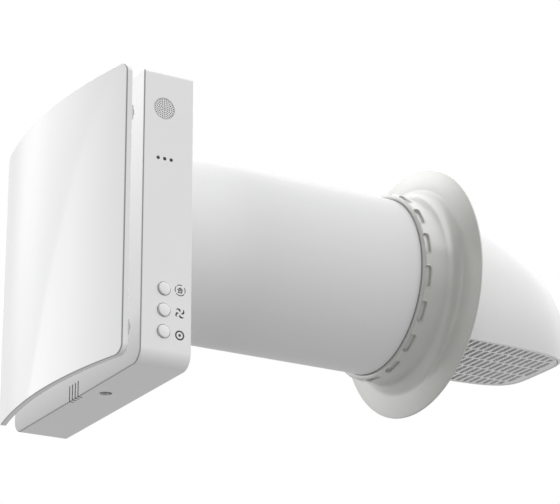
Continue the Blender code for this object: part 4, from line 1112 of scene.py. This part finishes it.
def make_blades():
    """Four louvre blades of a thin lens section, each with a stiffening bead, on round pins."""
    for i in range(1, 5):
        name = f"shutter_blade_{i}"
        low, high, (y, z) = box_of(name, "X")
        half, thickness, length = (high.z - low.z) / 2, 0.0024, 0.0750
        shares = [-1 + k / 12 for k in range(25)]
        section = [(y - thickness / 2 * (1 - 0.6 * share * share), z + half * share) for share in shares]
        section += [(2 * y - u, v) for u, v in section[::-1]]
        blade = new_object(f"louvre_{i}", prism(section, "X", -length, length))
        carve(blade, disc((y, z), 0.0020, "X", low.x, high.x, 32), "UNION")
        beads, reach = bmesh.new(), length - 0.006
        for side in (-1, 1):
            ends = [Vector((x, y - thickness * 0.42, z + side * half * 0.5)) for x in (-reach, reach)]
            tube(ends, 0.0005, 12, beads)
        carve(blade, beads, "UNION")
        dress(shade(blade), "inner_plastic", name, body=f"blade_{i}")


def make_cables():
    """The mains cable and the cartridge's pull cord, as smooth runs."""
    path = [(-0.088, -0.0004, 0.005), (-0.088, -0.006, 0.005), (-0.084, -0.0125, 0.008),
            (-0.076, -0.0155, 0.0185), (-0.050, -0.0155, 0.0260), (0.020, -0.0150, 0.0260),
            (0.045, -0.0145, 0.0200), (0.051, -0.0140, 0.0060), (0.051, -0.0140, -0.0100)]
    cable = new_object("mains_cable", tube(smooth_path(path, 10), 0.0024, 24))
    dress(shade(cable), "black_plastic", "supply_cable")
    low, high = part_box("pull_cord")
    y = (low.y + high.y) / 2
    loop = [(-0.060 * math.cos(math.pi * i / 12), y, AXIS_Z - 0.030 * math.sin(math.pi * i / 12))
            for i in range(13)]
    cord = new_object("cord_loop", tube(smooth_path(loop, 6), 0.0011, 16))
    dress(shade(cord), "cord", "pull_cord")


def finish_carried_nodes():
    """Materials and eased edges for the CAD nodes whose shapes stay."""
    slots = {entry["node"]: entry["material_slot"] for entry in frame["record"]["subparts"]}
    eases = {"panel_stud": 0.0005, "shutter_frame": 0.0004, "blade_gear": 0.00015, "drive_pinion": 0.00015,
             "shutter_rack": 0.00015, "rack_guide": 0.0003, "shutter_motor": 0.0004, "control_board": 0.0002,
             "power_supply": 0.0006, "terminal_block": 0.0004, "sounder": 0.0004, "filter_holder": 0.0004,
             "heat_store": 0.0003, "fan_housing": 0.0004, "fan_shaft": 0.0003, "motor_stator": 0.0005}
    for name, obj in frame["nodes"].items():
        if obj.hide_render:
            continue
        if name.startswith("panel_stud"):
            obj.visible_diffuse = obj.visible_glossy = obj.visible_shadow = False
        obj.data.materials.clear()
        obj.data.materials.append(stud_white if name.startswith("panel_stud") else finishes[slots[name]])
        width = next((w for start, w in eases.items() if name.startswith(start)), None)
        if width:
            ease_edges(obj, width)
        else:
            shade(obj)


# Light, floor and camera

def world_light():
    """A white studio: what the camera sees is plain white, and the light is brightest from above."""
    world = bpy.data.worlds.new("studio")
    bpy.context.scene.world = world
    world.use_nodes = True
    tree = world.node_tree
    tree.nodes.clear()
    direction = node(tree, "TexCoord").outputs["Generated"]

    def lobe(axis, start, end, low, high):
        """Goes from low to high as the direction turns towards an axis."""
        return ramp(tree, dot(tree, direction, axis), start, end, low, high, "SMOOTHSTEP")

    above = (0, 0, 1)
    room_side = calculate(tree, "ADD", dot(tree, direction, (-0.165, -0.302, 0.212)), 0.722)
    soft = calculate(tree, "ADD", room_side, lobe((0.45, 0.85, 0.28), 0.55, 1.0, 0.0, 1.55))
    screen = dot(tree, direction, (0.157, 0.4156, 0.8959))
    wedge = times(tree, ramp(tree, screen, 0.0, 0.11, 0.26, 0.0), ramp(tree, screen, -0.004, 0.001))
    mirrored = times(tree, lobe(above, -0.25, 0.25, 0.62, 1.0), lobe(above, 0.48, 0.64, 1.0, 2.2),
                     lobe((0.26, -0.95, 0.17), 0.33, 0.80, 1.0, 0.25),
                     lobe((-0.78, -0.55, 0.30), 0.84, 0.98, 1.0, 1.75), without(tree, wedge))
    ray = node(tree, "LightPath").outputs
    glossy = blend(tree, ray["Is Glossy Ray"], soft, mirrored)
    seen = blend(tree, ray["Is Camera Ray"], glossy, 1.0)
    background = node(tree, "Background", {"Color": (1.0, 1.0, 1.0, 1.0), "Strength": seen})
    feed(tree, node(tree, "OutputWorld"), {"Surface": background.outputs["Background"]})


def make_floor():
    """A plain pale floor, well below the wall-hung object, and clear when seen from underneath."""
    bm = bmesh.new()
    half, level = 40.0, -1.1
    corners = ((-half, -half), (half, -half), (half, half), (-half, half))
    bm.faces.new([bm.verts.new((x, y, level)) for x, y in corners])
    floor = new_object("studio_floor", bm)
    made, tree = new_material("pale_floor")
    give(made, {"Base Color": (0.86, 0.86, 0.86, 1.0), "Roughness": 0.7})
    mixed = node(tree, "MixShader", {0: node(tree, "NewGeometry").outputs["Backfacing"],
                                     1: tree.nodes["Principled BSDF"].outputs["BSDF"],
                                     2: node(tree, "BsdfTransparent").outputs["BSDF"]})
    feed(tree, tree.nodes["Material Output"], {"Surface": mixed.outputs["Shader"]})
    floor.data.materials.append(made)
    floor.visible_diffuse = floor.visible_glossy = False


def make_camera():
    """The camera stands to the right of the room side, below the unit, and looks up at it."""
    azimuth, elevation, roll = math.radians(59.92), math.radians(-20.51), math.radians(-0.29)
    distance = 2.0393
    back = Vector((math.sin(azimuth) * math.cos(elevation), -math.cos(azimuth) * math.cos(elevation),
                   math.sin(elevation)))
    right = Vector((math.cos(azimuth), math.sin(azimuth), 0))
    up = back.cross(right)
    target = Vector((0, 0.150, 0.0972)) + 0.00093 * right + 0.03494 * up
    rolled_right = math.cos(roll) * right + math.sin(roll) * up
    rolled_up = math.cos(roll) * up - math.sin(roll) * right
    data = bpy.data.cameras.new("camera")
    data.lens = 149.4
    data.sensor_width = 36.0
    camera = bpy.data.objects.new("camera", data)
    bpy.context.scene.collection.objects.link(camera)
    turn = Matrix((rolled_right, rolled_up, back)).transposed().to_4x4()
    camera.matrix_world = Matrix.Translation(target + back * distance) @ turn
    bpy.context.scene.camera = camera


finishes = make_materials()
ink = printed_ink()
stud_white = panel_gloss("stud_gloss_white")
make_casing()
make_panel()
for button in BUTTONS:
    make_button(button)
print_house(SIGN_Y, 0.0335)
print_fan(SIGN_Y, 0.0142)
print_ring(SIGN_Y, -0.0042)
make_lights()
make_sounder_grille()
make_screw()
make_duct()
make_collar()
make_hood()
make_grille()
make_mounting_plate()
make_blades()
make_cables()
finish_carried_nodes()
world_light()
make_floor()
make_camera()

scene = bpy.context.scene
scene.view_settings.view_transform = "Standard"
scene.view_settings.look = "None"
